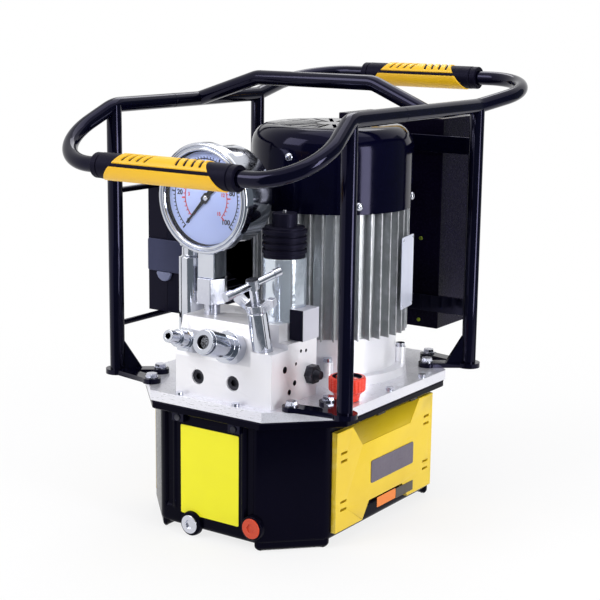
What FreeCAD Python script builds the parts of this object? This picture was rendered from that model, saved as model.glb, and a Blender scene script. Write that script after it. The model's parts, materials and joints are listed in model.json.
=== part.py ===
import FreeCAD, Part
import math
import os

import Sketcher

# Portable electric hydraulic power unit: an oil tank with a cover plate, an upright finned motor that
# drives a pump inside the tank, a valve block with gauge and couplings, and a tubular carrying frame.
# Frame: +Z up, front (valve block and gauge) towards -Y, z = 0 on the floor under the tank's feet.
# Every place below is measured from the middle of the tank; CENTRE_X and CENTRE_Y then move the whole
# unit so that the row's origin is the middle of its overall outline, on the floor.

SIZES = [
    # tank
    ("tank_width", 214.0), ("tank_length", 292.0), ("tank_corner", 48.0), ("tank_height", 122.0),
    ("tank_wall", 4.0), ("tank_floor", 4.0), ("tank_edge_round", 12.0), ("foot_height", 7.0),
    ("foot_depth", 26.0), ("foot_run", 3.0), ("rim_out_x", 17.0), ("rim_out_y", 6.0), ("rim_height", 6.0),
    ("groove_inset", 10.0), ("groove_width", 12.0), ("groove_depth", 2.0), ("groove_bottom", 42.0),
    ("gasket_thick", 2.0), ("boss_radius", 12.0), ("boss_height", 4.0),
    # cover plate
    ("plate_lip", 2.0), ("plate_corner_step", 11.0), ("plate_thick", 10.0), ("screw_offset", 34.0),
    ("side_screw_shift", 21.0), ("side_screw_offset", 32.0), ("screw_edge_x", 5.5), ("screw_edge_y", 4.0),
    ("screw_radius", 1.8), ("screw_head_radius", 3.8), ("screw_head_height", 3.0), ("screw_reach", 5.0),
    ("hole_clearance", 0.2), ("clamp_width", 14.0), ("clamp_height", 8.0), ("clamp_thick", 5.0),
    ("clamp_screw_radius", 1.5), ("clamp_head_radius", 3.0), ("clamp_head_height", 1.5),
    ("clamp_bite", 2.5),
    # side panels
    ("panel_inset", 6.0), ("panel_base", 14.0), ("panel_gap", 8.5), ("panel_thick", 4.0),
    ("panel_relief", 1.5), ("notch_half_low", 44.0), ("notch_half_high", 32.0), ("notch_height", 17.0),
    ("facet_half_high", 64.0), ("facet_half_low", 46.0), ("facet_depth", 22.0), ("slit_length", 11.0),
    ("slit_height", 2.4), ("slit_pitch", 8.0), ("slit_edge", 13.0), ("slit_low", 20.0), ("slit_high", 31.5),
    # tank plugs
    ("drain_x", -20.0), ("drain_z", 12.5), ("drain_radius", 9.3), ("drain_thick", 4.0), ("drain_hex", 8.0),
    ("plug_shank_radius", 5.0), ("plug_shank", 3.5), ("sight_x", 54.0), ("sight_z", 24.0),
    ("sight_radius", 10.0), ("sight_thick", 3.0),
    # carrying frame
    ("tube_radius", 7.5), ("tube_wall", 1.5), ("post_out", 12.0), ("post_inset", 32.0),
    ("rail_height", 272.0), ("seam_y", -30.0), ("fold_radius", 30.0), ("front_reach", 84.0),
    ("front_drop", 48.0), ("front_splay_left", 24.0), ("front_splay_right", 17.0), ("front_bend", 54.0),
    ("rear_reach", 112.0), ("rear_rise", 22.0), ("rear_splay_left", 12.0), ("rear_splay_right", 36.0),
    ("rear_bend", 59.0), ("cross_y", 15.0), ("cross_rise", 25.0), ("cross_flat_left", 62.0),
    ("cross_flat_right", 78.0), ("cross_bend", 24.0), ("outline_middle_x", 2.8), ("foot_thick", 5.0),
    ("foot_pad_radius", 12.0), ("arm_width", 14.0), ("arm_end_radius", 9.0), ("bolt_a_in_x", 41.0),
    ("bolt_a_in_y", 23.0), ("bolt_b_in_x", 23.0), ("bolt_b_in_y", 58.0), ("bolt_radius", 3.0),
    ("bolt_flange_radius", 6.5), ("bolt_flange_thick", 1.5), ("bolt_hex", 10.0), ("bolt_head_height", 4.5),
    ("gusset_reach", 25.0), ("gusset_height", 33.0), ("gusset_thick", 5.0),
    # grips
    ("front_grip_x", -2.0), ("front_grip", 150.0), ("rear_grip_x", 7.0), ("rear_grip", 132.0),
    ("collar_width", 7.0), ("collar_radius", 12.0), ("sleeve_radius", 9.5), ("shell_radius", 13.0),
    # motor
    ("motor_x", 22.0), ("motor_shift", 2.75), ("flange_radius", 80.0), ("flange_thick", 9.0),
    ("bell_radius", 69.0), ("bell_height", 45.0), ("bell_wall", 5.0), ("lug_radius", 5.5),
    ("cap_head_radius", 4.5), ("cap_head_height", 4.0), ("lug_circle", 74.0), ("lug_start", 32.0),
    ("lug_height", 15.0), ("housing_radius", 70.0), ("housing_wall", 5.0), ("housing_top", 182.0),
    ("web_thick", 6.0), ("fin_radius", 80.0), ("fin_thick", 2.0), ("fin_count", 40.0), ("cowl_wall", 2.0),
    ("cowl_overlap", 10.0), ("cowl_side", 50.0), ("cowl_crown", 22.0), ("cowl_top_radius", 64.0),
    ("grille_inner", 16.0), ("grille_outer", 56.0), ("grille_slot", 4.0), ("grille_count", 20.0),
    ("stator_bore", 40.0), ("stator_base", 60.0), ("stator_height", 90.0), ("air_gap", 0.5),
    ("shaft_radius", 9.5), ("bearing_radius", 20.0), ("bearing_width", 12.0), ("lower_bearing_base", 18.0),
    ("shaft_proud", 8.0), ("shaft_drop", 20.0), ("shaft_end_gap", 0.5), ("bell_spigot", 3.0),
    ("seat_wall", 6.0), ("throat_gap", 3.0), ("housing_recess", 6.0), ("fan_radius", 62.0),
    ("fan_hub_radius", 14.0), ("fan_gap", 12.0), ("fan_height", 26.0), ("fan_blade_thick", 2.0),
    ("fan_blade_count", 8.0),
    # pump
    ("coupling_radius", 16.0), ("coupling_length", 32.0), ("coupling_drop", 4.0), ("plate_bore_gap", 10.0),
    ("pump_flange_radius", 56.0), ("pump_flange_thick", 8.0), ("pump_neck_wall", 10.0),
    ("pump_neck_gap", 6.0), ("pump_neck_length", 26.0), ("pump_body_radius", 44.0),
    ("pump_body_height", 52.0), ("cam_radius", 13.0), ("cam_offset", 3.0), ("cam_height", 16.0),
    ("cam_room", 20.0), ("pump_shaft_radius", 8.0), ("piston_radius", 6.0), ("piston_length", 22.0),
    ("running_clearance", 0.05), ("strainer_radius", 18.0), ("strainer_floor_gap", 10.0),
    ("journal_length", 16.0), ("piston_gap", 1.0), ("piston_count", 3.0),
    # valve block
    ("block_left", -44.0), ("block_right", 70.0), ("block_inset", 11.0), ("block_depth", 75.0),
    ("block_height", 75.0), ("block_lip", 38.0), ("block_tilt", 18.0), ("ledge_x", 46.0),
    ("ledge_height", 53.0), ("ledge_depth", 27.0), ("side_step_x", 59.0), ("side_step_height", 58.0),
    ("front_plug_radius", 7.2), ("front_plug_z", 19.0), ("front_plug_left", -17.0),
    ("front_plug_right", 25.0), ("front_plug_depth", 6.0), ("front_plug_sink", 2.0),
    ("front_plug_hex", 6.0), ("bypass_back", 63.0), ("bypass_z", 23.0), ("bypass_hex", 17.0),
    ("bypass_length", 8.0), ("bypass_cap_radius", 6.0), ("bypass_cap_length", 6.0),
    ("drilling_radius", 1.7), ("drilling_depth", 6.0),
    # couplings
    ("female_x", 22.0), ("male_x", -26.0), ("coupler_up", 14.0), ("female_flange_radius", 15.5),
    ("female_flange", 12.0), ("female_body_radius", 10.5), ("female_length", 48.0), ("female_bore", 6.5),
    ("female_bore_depth", 26.0), ("sleeve_outer", 12.5), ("slide_start", 24.0), ("slide_length", 20.0),
    ("male_hex", 22.0), ("male_hex_length", 14.0), ("male_neck_radius", 8.5), ("male_neck_length", 12.0),
    ("male_tip_radius", 6.0), ("male_tip_length", 14.0), ("male_bore", 3.0), ("port_spigot", 8.0),
    ("port_spigot_radius", 8.0),
    # relief valve
    ("relief_x", 52.0), ("relief_back", 11.0), ("relief_tilt", 14.0), ("relief_radius", 9.5),
    ("relief_length", 42.0), ("relief_bore", 4.1), ("relief_sink", 8.0), ("relief_bore_depth", 22.0),
    ("lock_hub_radius", 10.0), ("lock_hub_height", 7.0), ("wing_reach", 23.0), ("wing_rise", 14.0),
    ("wing_thick", 6.0), ("spindle_radius", 4.0), ("handle_level", 68.0), ("handle_bar_radius", 3.0),
    ("handle_bar_length", 68.0), ("handle_turn", 78.0), ("handle_end_radius", 4.4),
    ("handle_end_length", 8.0), ("handle_hub_radius", 6.0), ("handle_hub_height", 9.0),
    # pressure gauge
    ("gauge_x", -25.0), ("gauge_back", 33.0), ("stem_height", 30.0), ("gauge_front", 17.0),
    ("bezel_wall", 5.5), ("bezel_lip", 3.0), ("bezel_depth", 11.0), ("case_radius", 48.0),
    ("case_depth", 50.0), ("case_wall", 2.0), ("dial_sink", 8.0), ("dial_thick", 1.0), ("lens_sink", 2.0),
    ("lens_thick", 2.0), ("needle_length", 36.0), ("needle_tail", 14.0), ("needle_width", 2.4),
    ("needle_tail_width", 5.0), ("needle_thick", 0.8), ("needle_hub", 4.0), ("needle_gap", 1.2),
    ("needle_rest", 228.0), ("stem_square", 20.0), ("nut_hex", 27.0), ("nut_height", 25.0),
    ("adapter_radius", 7.8), ("adapter_height", 11.0), ("adapter_thread", 5.0), ("thread_length", 11.0),
    ("adapter_sink", 8.0),
    # solenoid valve
    ("solenoid_x", 45.0), ("solenoid_back", 55.0), ("coil_radius", 21.5), ("coil_height", 61.0),
    ("coil_bore", 8.0), ("cap_gap", 4.0), ("ribbed_height", 25.0), ("rib_depth", 2.0),
    ("top_nut_radius", 12.0), ("top_nut_height", 13.0), ("plunger_radius", 6.0), ("plunger_height", 30.0),
    ("plunger_foot", 14.0), ("override_radius", 2.0), ("override_stand", 2.5), ("connector_x", 59.0),
    ("connector_back", 41.0), ("connector_base", 1.0), ("connector_width", 18.0),
    ("connector_depth", 27.0), ("connector_height", 30.0),
    # return filter
    ("filter_out", 24.0), ("filter_back", 56.0), ("filter_drop", 30.0), ("filter_radius", 13.5),
    ("filter_height", 124.0), ("filter_neck_radius", 10.5), ("filter_neck_height", 10.0),
    ("filter_cap_height", 8.0),
    # filler
    ("filler_in", 19.0), ("filler_back", 73.0), ("filler_bore", 7.0), ("filler_neck_radius", 9.0),
    ("filler_neck_height", 4.0), ("filler_drain", 5.0), ("filler_trench", 4.0), ("trench_width", 12.0),
    ("cap_low_radius", 15.0), ("cap_high_radius", 18.0), ("cap_height", 20.0), ("cap_plug", 3.5),
    # control box
    ("box_left", -37.0), ("box_right", 93.0), ("box_base", 32.0), ("box_height", 224.0),
    ("box_depth", 62.0), ("box_wall", 2.0), ("lid_thick", 2.0), ("bar_width", 18.0), ("bar_thick", 4.0),
    ("bar_low", 60.0), ("bar_high", 230.0), ("gland_radius", 8.0), ("gland_hex", 20.0),
    ("gland_hex_height", 8.0), ("gland_length", 16.0),
    # oil cooler
    ("cooler_half", 60.0), ("cooler_middle_y", 5.0), ("cooler_base", 54.0), ("cooler_height", 130.0),
    ("fan_frame_depth", 25.0), ("core_depth", 28.0), ("fan_bore", 57.0), ("spider_radius", 20.0),
    ("spider_thick", 4.0), ("pin_radius", 4.0), ("pin_length", 13.0), ("spider_arm", 6.0),
    ("blade_tip", 54.0), ("rotor_hub", 19.0), ("rotor_depth", 17.0), ("blade_count", 7.0),
    ("core_wall", 3.0), ("core_tank", 14.0), ("core_fin_pitch", 8.0), ("core_fin_thick", 1.2),
    ("rod_radius", 3.0),
]

DOC = FreeCAD.newDocument("hydraulic_power_unit")
SHEET = DOC.addObject("Spreadsheet::Sheet", "Sizes")
NODES = []
PLACES = {}


class Size:
    """A length, angle or count: its value in millimetres or degrees, and the formula that binds it."""

    def __init__(self, value, text):
        self.value = float(value)
        self.text = text

    def __add__(self, other):
        other = sized(other)
        return Size(self.value + other.value, "(%s + %s)" % (self.text, other.text))

    def __sub__(self, other):
        other = sized(other)
        return Size(self.value - other.value, "(%s - %s)" % (self.text, other.text))

    def __mul__(self, other):
        other = sized(other)
        return Size(self.value * other.value, "(%s * %s)" % (self.text, other.text))

    def __truediv__(self, other):
        other = sized(other)
        return Size(self.value / other.value, "(%s / %s)" % (self.text, other.text))

    def __radd__(self, other):
        return sized(other) + self

    def __rsub__(self, other):
        return sized(other) - self

    def __rmul__(self, other):
        return sized(other) * self

    def __neg__(self):
        return sized(0) - self


def sized(number):
    """Turn a plain number into a Size, and leave a Size as it is."""
    if isinstance(number, Size):
        return number
    return Size(number, repr(float(number)))


def cosine(angle):
    return Size(math.cos(math.radians(angle.value)), "cos(%s * 1deg)" % angle.text)


def sine(angle):
    return Size(math.sin(math.radians(angle.value)), "sin(%s * 1deg)" % angle.text)


def bearing(across, up):
    """Direction of a vector in a plane, in degrees."""
    value = math.degrees(math.atan2(up.value, across.value))
    return Size(value, "(atan2(%s; %s) / 1deg)" % (up.text, across.text))


def root(number):
    return Size(math.sqrt(number.value), "sqrt(%s)" % number.text)


class Sheet:
    """The driving dimensions, as attributes."""


def fill_sheet():
    """Write every driving dimension into the sheet with its alias."""
    values = Sheet()
    for row, (name, value) in enumerate(SIZES, start=1):
        cell = "B%d" % row
        SHEET.set("A%d" % row, name)
        SHEET.set(cell, repr(value))
        SHEET.setAlias(cell, name)
        setattr(values, name, Size(value, "Sizes." + name))
    return values


S = fill_sheet()
DOC.recompute()

# ---------------------------------------------------------------- placing and binding

UPRIGHT = (FreeCAD.Vector(0, 0, 1), 0.0)
FORWARD = (FreeCAD.Vector(1, 0, 0), 90.0)       # local z to -Y, local y to +Z
BACKWARD = (FreeCAD.Vector(1, 0, 0), -90.0)     # local z to +Y, local y to -Z
RIGHTWARD = (FreeCAD.Vector(1, 1, 1), 120.0)    # local x to +Y, local y to +Z, local z to +X
LEFTWARD = (FreeCAD.Vector(0, 1, 0), -90.0)     # local z to -X, local x to +Z
DOWNWARD = (FreeCAD.Vector(1, 0, 0), 180.0)     # local z to -Z


def bind(item, prop, number):
    """Set a property from a Size, and bind it to the sheet."""
    item.setExpression(prop, sized(number).text)


def put(item, x=0, y=0, z=0, turn=UPRIGHT):
    """Place an object: base point and one turn about an axis, all bound to the sheet."""
    x, y, z = sized(x), sized(y), sized(z)
    axis, angle = turn
    angle = sized(angle)
    base = FreeCAD.Vector(x.value, y.value, z.value)
    item.Placement = FreeCAD.Placement(base, FreeCAD.Rotation(axis, angle.value))
    for letter, number in zip("xyz", (x, y, z)):
        bind(item, "Placement.Base." + letter, number)
    if "Sizes." in angle.text:
        item.setExpression("Placement.Rotation.Angle", "%s * 1deg" % angle.text)
    PLACES[item.Name] = (x, y, z, turn)
    return item


def node(item, name):
    """Name a finished sub-part, and move it from the tank's middle to the row's origin."""
    x, y, z, turn = PLACES.get(item.Name, (0, 0, 0, UPRIGHT))
    put(item, sized(x) + CENTRE_X, sized(y) + CENTRE_Y, z, turn)
    item.Label = name
    NODES.append(item)
    return item


def cylinder(name, radius, height, x=0, y=0, z=0, turn=UPRIGHT):
    item = DOC.addObject("Part::Cylinder", name)
    bind(item, "Radius", radius)
    bind(item, "Height", height)
    return put(item, x, y, z, turn)


def cone(name, low_radius, high_radius, height, x=0, y=0, z=0, turn=UPRIGHT):
    item = DOC.addObject("Part::Cone", name)
    bind(item, "Radius1", low_radius)
    bind(item, "Radius2", high_radius)
    bind(item, "Height", height)
    return put(item, x, y, z, turn)


def hexagon(name, across_flats, height, x=0, y=0, z=0, turn=UPRIGHT):
    item = DOC.addObject("Part::Prism", name)
    item.Polygon = 6
    bind(item, "Circumradius", across_flats / root(sized(3)))
    bind(item, "Height", height)
    return put(item, x, y, z, turn)


def slab(name, length, width, height, x=0, y=0, z=0, turn=UPRIGHT):
    """A box given by its low corner."""
    item = DOC.addObject("Part::Box", name)
    bind(item, "Length", length)
    bind(item, "Width", width)
    bind(item, "Height", height)
    return put(item, x, y, z, turn)


def joined(name, items):
    item = DOC.addObject("Part::MultiFuse", name)
    item.Shapes = items
    return item


def drilled(name, base, tools):
    """Base less all the tools."""
    item = DOC.addObject("Part::Cut", name)
    item.Base = base
    item.Tool = tools[0] if len(tools) == 1 else joined(name + "_tools", tools)
    return item


def bunch(name, items):
    """A node of separate solids."""
    item = DOC.addObject("Part::Compound", name)
    item.Links = items
    return item


def fixed_shape(name, shape):
    item = DOC.addObject("Part::Feature", name)
    item.Shape = shape
    return item


# ---------------------------------------------------------------- sketches and bodies

def sketch(body, name, outlines, plane="XY_Plane", lift=None):
    """Draw closed outlines on one of the body's origin planes, each corner bound to the sheet.

    An outline is a list of (x, y) corners, or ("circle", x, y, radius).
    """
    drawing = body.newObject("Sketcher::SketchObject", name)
    origin_plane = [item for item in body.Origin.OriginFeatures if item.Role == plane][0]
    drawing.AttachmentSupport = [(origin_plane, "")]
    drawing.MapMode = "FlatFace"
    if lift is not None:
        bind(drawing, "AttachmentOffset.Base.z", lift)
    for outline in outlines:
        if outline[0] == "circle":
            draw_circle(drawing, *outline[1:])
        else:
            draw_outline(drawing, outline)
    return drawing


def fix_point(drawing, geometry, point, x, y):
    for kind, number in (("DistanceX", sized(x)), ("DistanceY", sized(y))):
        index = drawing.addConstraint(Sketcher.Constraint(kind, -1, 1, geometry, point, number.value))
        drawing.setExpression("Constraints[%d]" % index, number.text)


def draw_circle(drawing, x, y, radius):
    x, y, radius = sized(x), sized(y), sized(radius)
    centre = FreeCAD.Vector(x.value, y.value, 0)
    circle = Part.Circle(centre, FreeCAD.Vector(0, 0, 1), radius.value)
    geometry = drawing.addGeometry(circle, False)
    index = drawing.addConstraint(Sketcher.Constraint("Radius", geometry, radius.value))
    drawing.setExpression("Constraints[%d]" % index, radius.text)
    fix_point(drawing, geometry, 3, x, y)


def draw_outline(drawing, corners):
    corners = [(sized(x), sized(y)) for x, y in corners]
    first = drawing.GeometryCount
    count = len(corners)
    for index, (x, y) in enumerate(corners):
        next_x, next_y = corners[(index + 1) % count]
        start = FreeCAD.Vector(x.value, y.value, 0)
        end = FreeCAD.Vector(next_x.value, next_y.value, 0)
        drawing.addGeometry(Part.LineSegment(start, end), False)
    for index in range(count):
        following = first + (index + 1) % count
        drawing.addConstraint(Sketcher.Constraint("Coincident", first + index, 2, following, 1))
    for index, (x, y) in enumerate(corners):
        fix_point(drawing, first + index, 1, x, y)


def new_body(name):
    return DOC.addObject("PartDesign::Body", name)


def turned(name, corners):
    """A body of revolution about local Z: corners are (radius, height)."""
    body = new_body(name)
    profile = sketch(body, name + "_profile", [corners], "XZ_Plane")
    DOC.recompute()
    spin = body.newObject("PartDesign::Revolution", name + "_spin")
    spin.Profile = profile
    spin.ReferenceAxis = (profile, ["V_Axis"])
    spin.Angle = 360
    return body


def padded(body, name, outlines, height, lift=None, plane="XY_Plane"):
    profile = sketch(body, name + "_outline", outlines, plane, lift)
    DOC.recompute()
    pad = body.newObject("PartDesign::Pad", name)
    pad.Profile = profile
    bind(pad, "Length", height)
    return pad


def pocketed(body, name, outlines, depth, lift, plane="XY_Plane"):
    """Cut inwards from a sketch raised along its plane's normal."""
    profile = sketch(body, name + "_outline", outlines, plane, lift)
    DOC.recompute()
    before = body.Shape.Volume
    pocket = body.newObject("PartDesign::Pocket", name)
    pocket.Profile = profile
    bind(pocket, "Length", depth)
    DOC.recompute()
    if body.Shape.Volume >= before:
        raise RuntimeError(name + " cuts nothing")
    return pocket


def around(body, name, feature, count):
    """Repeat a feature evenly about the body's Z axis."""
    pattern = body.newObject("PartDesign::PolarPattern", name)
    pattern.Originals = [feature]
    axis = [item for item in body.Origin.OriginFeatures if item.Role == "Z_Axis"][0]
    pattern.Axis = (axis, [""])
    pattern.Angle = 360
    bind(pattern, "Occurrences", count)
    body.Tip = pattern
    return pattern


def rounded(body, name, feature, radius, chooses):
    """Fillet the edges of a feature that the test picks."""
    DOC.recompute()
    edges = [
        "Edge%d" % (index + 1)
        for index, edge in enumerate(feature.Shape.Edges)
        if chooses(edge)
    ]
    fillet = body.newObject("PartDesign::Fillet", name)
    fillet.Base = (feature, edges)
    bind(fillet, "Radius", radius)
    return fillet


def is_upright(edge):
    """True for a straight edge along local Z."""
    if not isinstance(edge.Curve, Part.Line):
        return False
    return abs(edge.Curve.Direction.z) > 0.999


def octagon(half_x, half_y, corner):
    """Corners of a rectangle with its four corners cut off at 45 degrees."""
    return [
        (half_x - corner, -half_y), (half_x, corner - half_y), (half_x, half_y - corner),
        (half_x - corner, half_y), (corner - half_x, half_y), (-half_x, half_y - corner),
        (-half_x, corner - half_y), (corner - half_x, -half_y),
    ]


def rectangle(low_x, low_y, high_x, high_y):
    return [(low_x, low_y), (high_x, low_y), (high_x, high_y), (low_x, high_y)]


CORNERS = [(1, -1), (1, 1), (-1, 1), (-1, -1)]

# Levels and centres that several pieces share.
TANK_TOP = S.foot_height + S.tank_height
PLATE_BASE = TANK_TOP + S.gasket_thick
PLATE_TOP = PLATE_BASE + S.plate_thick
RAIL_Z = PLATE_TOP + S.rail_height
TANK_HALF_X = S.tank_width / 2
TANK_HALF_Y = S.tank_length / 2
PLATE_HALF_X = TANK_HALF_X + S.rim_out_x + S.plate_lip
PLATE_HALF_Y = TANK_HALF_Y + S.rim_out_y
PLATE_CORNER = S.tank_corner + S.plate_corner_step
PANEL_TOP = TANK_TOP - S.rim_height - S.panel_gap
POST_X = PLATE_HALF_X + S.post_out
POST_Y = PLATE_HALF_Y - S.post_inset
FRONT_GRIP_Y = -(POST_Y + S.front_reach)
REAR_GRIP_Y = POST_Y + S.rear_reach
BLOCK_FRONT = -(PLATE_HALF_Y - S.block_inset)
BLOCK_REAR = BLOCK_FRONT + S.block_depth
BOX_FRONT = POST_Y + S.tube_radius + S.bar_thick
MOTOR_Y = (BLOCK_REAR + BOX_FRONT) / 2 - S.motor_shift
COWL_BASE = S.housing_top - S.cowl_overlap
COWL_SHOULDER = S.housing_top + S.cowl_side
COWL_TOP = COWL_SHOULDER + S.cowl_crown
FAN_BASE = S.housing_top + S.fan_gap
SHAFT_TOP = FAN_BASE + S.fan_height + S.shaft_proud
PLATE_BORE = S.coupling_radius + S.plate_bore_gap
NECK_BORE = S.coupling_radius + S.pump_neck_gap
RELIEF_Y = BLOCK_FRONT + S.relief_back
GAUGE_Y = BLOCK_FRONT + S.gauge_back
SOLENOID_Y = BLOCK_FRONT + S.solenoid_back
NUT_BASE = S.block_height + S.adapter_height
NUT_TOP = NUT_BASE + S.nut_height
GAUGE_LEVEL = NUT_TOP + S.stem_height + S.case_radius
BEZEL_RADIUS = S.case_radius + S.bezel_wall
FILTER_X = S.block_left - S.filter_out
FILTER_Y = BLOCK_FRONT + S.filter_back
FILLER_X = PLATE_HALF_X - S.filler_in
FILLER_Y = BLOCK_FRONT + S.filler_back
CENTRE_X = -S.outline_middle_x
CENTRE_Y = -(FRONT_GRIP_Y + REAR_GRIP_Y) / 2


# ---------------------------------------------------------------- tank, gasket, cover plate

def build_tank():
    half_x, half_y = TANK_HALF_X, TANK_HALF_Y
    body = new_body("tank")
    block = padded(
        body, "tank_block", [octagon(half_x, half_y, S.tank_corner)], S.tank_height, S.foot_height)
    rounded(body, "tank_rounds", block, S.tank_edge_round, is_upright)
    padded(body, "tank_rim", [rim_outline(sized(0))], S.rim_height, TANK_TOP - S.rim_height)
    feet = []
    for sign_x, sign_y in CORNERS:
        feet.append([(x * sign_x, y * sign_y) for x, y in foot_outline()])
    padded(body, "tank_feet", feet, S.foot_height + S.tank_floor / 2, sized(0))
    spots = [("circle", S.drain_x, S.drain_z, S.boss_radius), ("circle", S.sight_x, S.sight_z, S.boss_radius)]
    boss_length = S.tank_wall + S.boss_height
    padded(body, "tank_bosses", spots, boss_length - S.boss_height / 2, half_y - S.tank_wall, "XZ_Plane")
    inner_corner = S.tank_corner - S.tank_wall * 0.586
    pocketed(
        body, "tank_room", [octagon(half_x - S.tank_wall, half_y - S.tank_wall, inner_corner)],
        S.tank_height - S.tank_floor, TANK_TOP)
    grooves = []
    for sign_x, sign_y in CORNERS:
        low_x = (TANK_HALF_X - S.tank_corner - S.groove_inset) * sign_x - S.groove_width / 2
        low_y = (half_y - S.groove_depth) * sign_y
        grooves.append(rectangle(low_x, low_y, low_x + S.groove_width, half_y * sign_y))
    groove_height = TANK_TOP - S.rim_height - S.groove_bottom
    pocketed(body, "tank_grooves", grooves, groove_height, TANK_TOP - S.rim_height)
    pocketed(
        body, "filler_trench",
        [rectangle(half_x - S.tank_wall - 1, FILLER_Y - S.trench_width / 2,
                   FILLER_X + S.filler_drain + 1, FILLER_Y + S.trench_width / 2)],
        S.filler_trench, TANK_TOP)
    hole = S.plug_shank_radius + S.hole_clearance
    spots = [("circle", S.drain_x, S.drain_z, hole), ("circle", S.sight_x, S.sight_z, hole)]
    pocketed(body, "tank_ports", spots, S.tank_wall + S.boss_height, half_y + S.boss_height / 2, "XZ_Plane")
    tools = []
    for index, (x, y) in enumerate(screw_spots()):
        tools.append(screw_hole("rim_hole_%d" % index, x, y, PLATE_BASE))
    tools += clamp_bores("tank")
    node(drilled("reservoir_tank", body, tools), "reservoir_tank")


def rim_outline(inset):
    half_x = TANK_HALF_X + S.rim_out_x - inset
    half_y = TANK_HALF_Y + S.rim_out_y - inset
    return octagon(half_x, half_y, PLATE_CORNER - inset * 0.586)


def foot_outline():
    """One foot under a corner of the tank, for the corner at +X +Y."""
    half_x, half_y = TANK_HALF_X - 1, TANK_HALF_Y - 1
    turn_x, turn_y = half_x - S.tank_corner, half_y - S.tank_corner
    return [
        (turn_x - S.foot_run, half_y), (turn_x, half_y), (half_x, turn_y), (half_x, turn_y - S.foot_run),
        (half_x - S.foot_depth, turn_y - S.foot_run), (turn_x - S.foot_run, half_y - S.foot_depth),
    ]


def screw_spots():
    """Cover screws: two on each side of the plate."""
    edge_x = PLATE_HALF_X - S.screw_edge_x
    edge_y = PLATE_HALF_Y - S.screw_edge_y
    spots = [(S.screw_offset * sign_x, edge_y * sign_y) for sign_x, sign_y in CORNERS]
    for sign_x, sign_y in CORNERS:
        spots.append((edge_x * sign_x, S.side_screw_shift + S.side_screw_offset * sign_y))
    return spots


def screw_hole(name, x, y, top):
    """A clearance hole for a cover screw, down from a level."""
    depth = S.screw_reach + S.gasket_thick
    return cylinder(name, S.screw_radius + S.hole_clearance, depth, x, y, top - depth)


def clamp_bores(name):
    """Blind holes in the tank's walls for the clamps' own screws."""
    level = TANK_TOP - S.rim_height - S.clamp_height / 2
    radius = S.clamp_screw_radius + S.hole_clearance
    bores = []
    for index, (x, y, turn) in enumerate(clamp_spots()):
        bores.append(cylinder("%s_clamp_bore_%d" % (name, index), radius, S.clamp_bite, x, y, level, turn))
    return bores


def clamp_spots():
    """Where each clamp's screw enters the wall, at its blind end, with the outward direction."""
    deep_x, deep_y = TANK_HALF_X - S.clamp_bite, TANK_HALF_Y - S.clamp_bite
    spots = []
    for sign_x, sign_y in CORNERS:
        spots.append((S.screw_offset * sign_x, deep_y * sign_y, BACKWARD if sign_y > 0 else FORWARD))
    for sign_x, sign_y in CORNERS:
        outward = RIGHTWARD if sign_x > 0 else LEFTWARD
        spots.append((deep_x * sign_x, S.side_screw_shift + S.side_screw_offset * sign_y, outward))
    return spots


def build_clamps():
    base = TANK_TOP - S.rim_height - S.clamp_height
    radius = S.clamp_screw_radius + S.hole_clearance
    clamps = []
    for index, (x, y, turn) in enumerate(clamp_spots()):
        name = "clamp_%d" % index
        gap = S.clamp_bite + S.hole_clearance
        if turn in (FORWARD, BACKWARD):
            low_y = y + gap if turn is BACKWARD else y - gap - S.clamp_thick
            block = slab(
                name, S.clamp_width, S.clamp_thick, S.clamp_height, x - S.clamp_width / 2, low_y, base)
        else:
            low_x = x + gap if turn is RIGHTWARD else x - gap - S.clamp_thick
            block = slab(
                name, S.clamp_thick, S.clamp_width, S.clamp_height, low_x, y - S.clamp_width / 2, base)
        length = S.clamp_bite + S.clamp_thick + 1
        bore = cylinder(name + "_bore", radius, length, x, y, base + S.clamp_height / 2, turn)
        clamps.append(drilled(name + "_block", block, [bore]))
    node(bunch("cover_clamps", clamps), "cover_clamps")


def build_cover():
    outline = octagon(PLATE_HALF_X, PLATE_HALF_Y, PLATE_CORNER)
    seal = new_body("seal")
    width_x = S.rim_out_x + S.tank_wall
    width_y = S.rim_out_y + S.tank_wall
    half_x, half_y = TANK_HALF_X + S.rim_out_x, TANK_HALF_Y + S.rim_out_y
    room = octagon(half_x - width_x, half_y - width_y, S.tank_corner - S.tank_wall * 0.586)
    padded(seal, "seal_ring", [rim_outline(sized(0)), room], S.gasket_thick, TANK_TOP)
    holes = [screw_hole("seal_hole_%d" % n, x, y, PLATE_TOP) for n, (x, y) in enumerate(screw_spots())]
    holes.append(slab(
        "seal_trench", FILLER_X + S.filler_drain + 1 - half_x + width_x + 1, S.trench_width, S.gasket_thick,
        half_x - width_x - 1, FILLER_Y - S.trench_width / 2, TANK_TOP))
    deep = [cylinder("seal_bore_%d" % n, S.screw_radius + S.hole_clearance, S.gasket_thick, x, y, TANK_TOP)
            for n, (x, y) in enumerate(screw_spots())]
    node(drilled("tank_gasket", seal, holes[-1:] + deep), "tank_gasket")
    plate = new_body("plate")
    padded(plate, "plate_pad", [outline], S.plate_thick, PLATE_BASE)
    circles = [("circle", S.motor_x, MOTOR_Y, PLATE_BORE), ("circle", FILLER_X, FILLER_Y, S.filler_drain)]
    hole = S.screw_radius + S.hole_clearance
    circles += [("circle", x, y, hole) for x, y in screw_spots()]
    bolt_hole = S.bolt_radius + S.hole_clearance
    circles += [("circle", x, y, bolt_hole) for x, y in leg_bolt_spots()]
    circles += [("circle", x, y, bolt_hole) for x, y in lug_spots()]
    circles += [("circle", FILTER_X, FILTER_Y, S.port_spigot_radius + S.hole_clearance)]
    pocketed(plate, "plate_holes", circles, S.plate_thick, PLATE_TOP)
    node(plate, "cover_plate")


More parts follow.
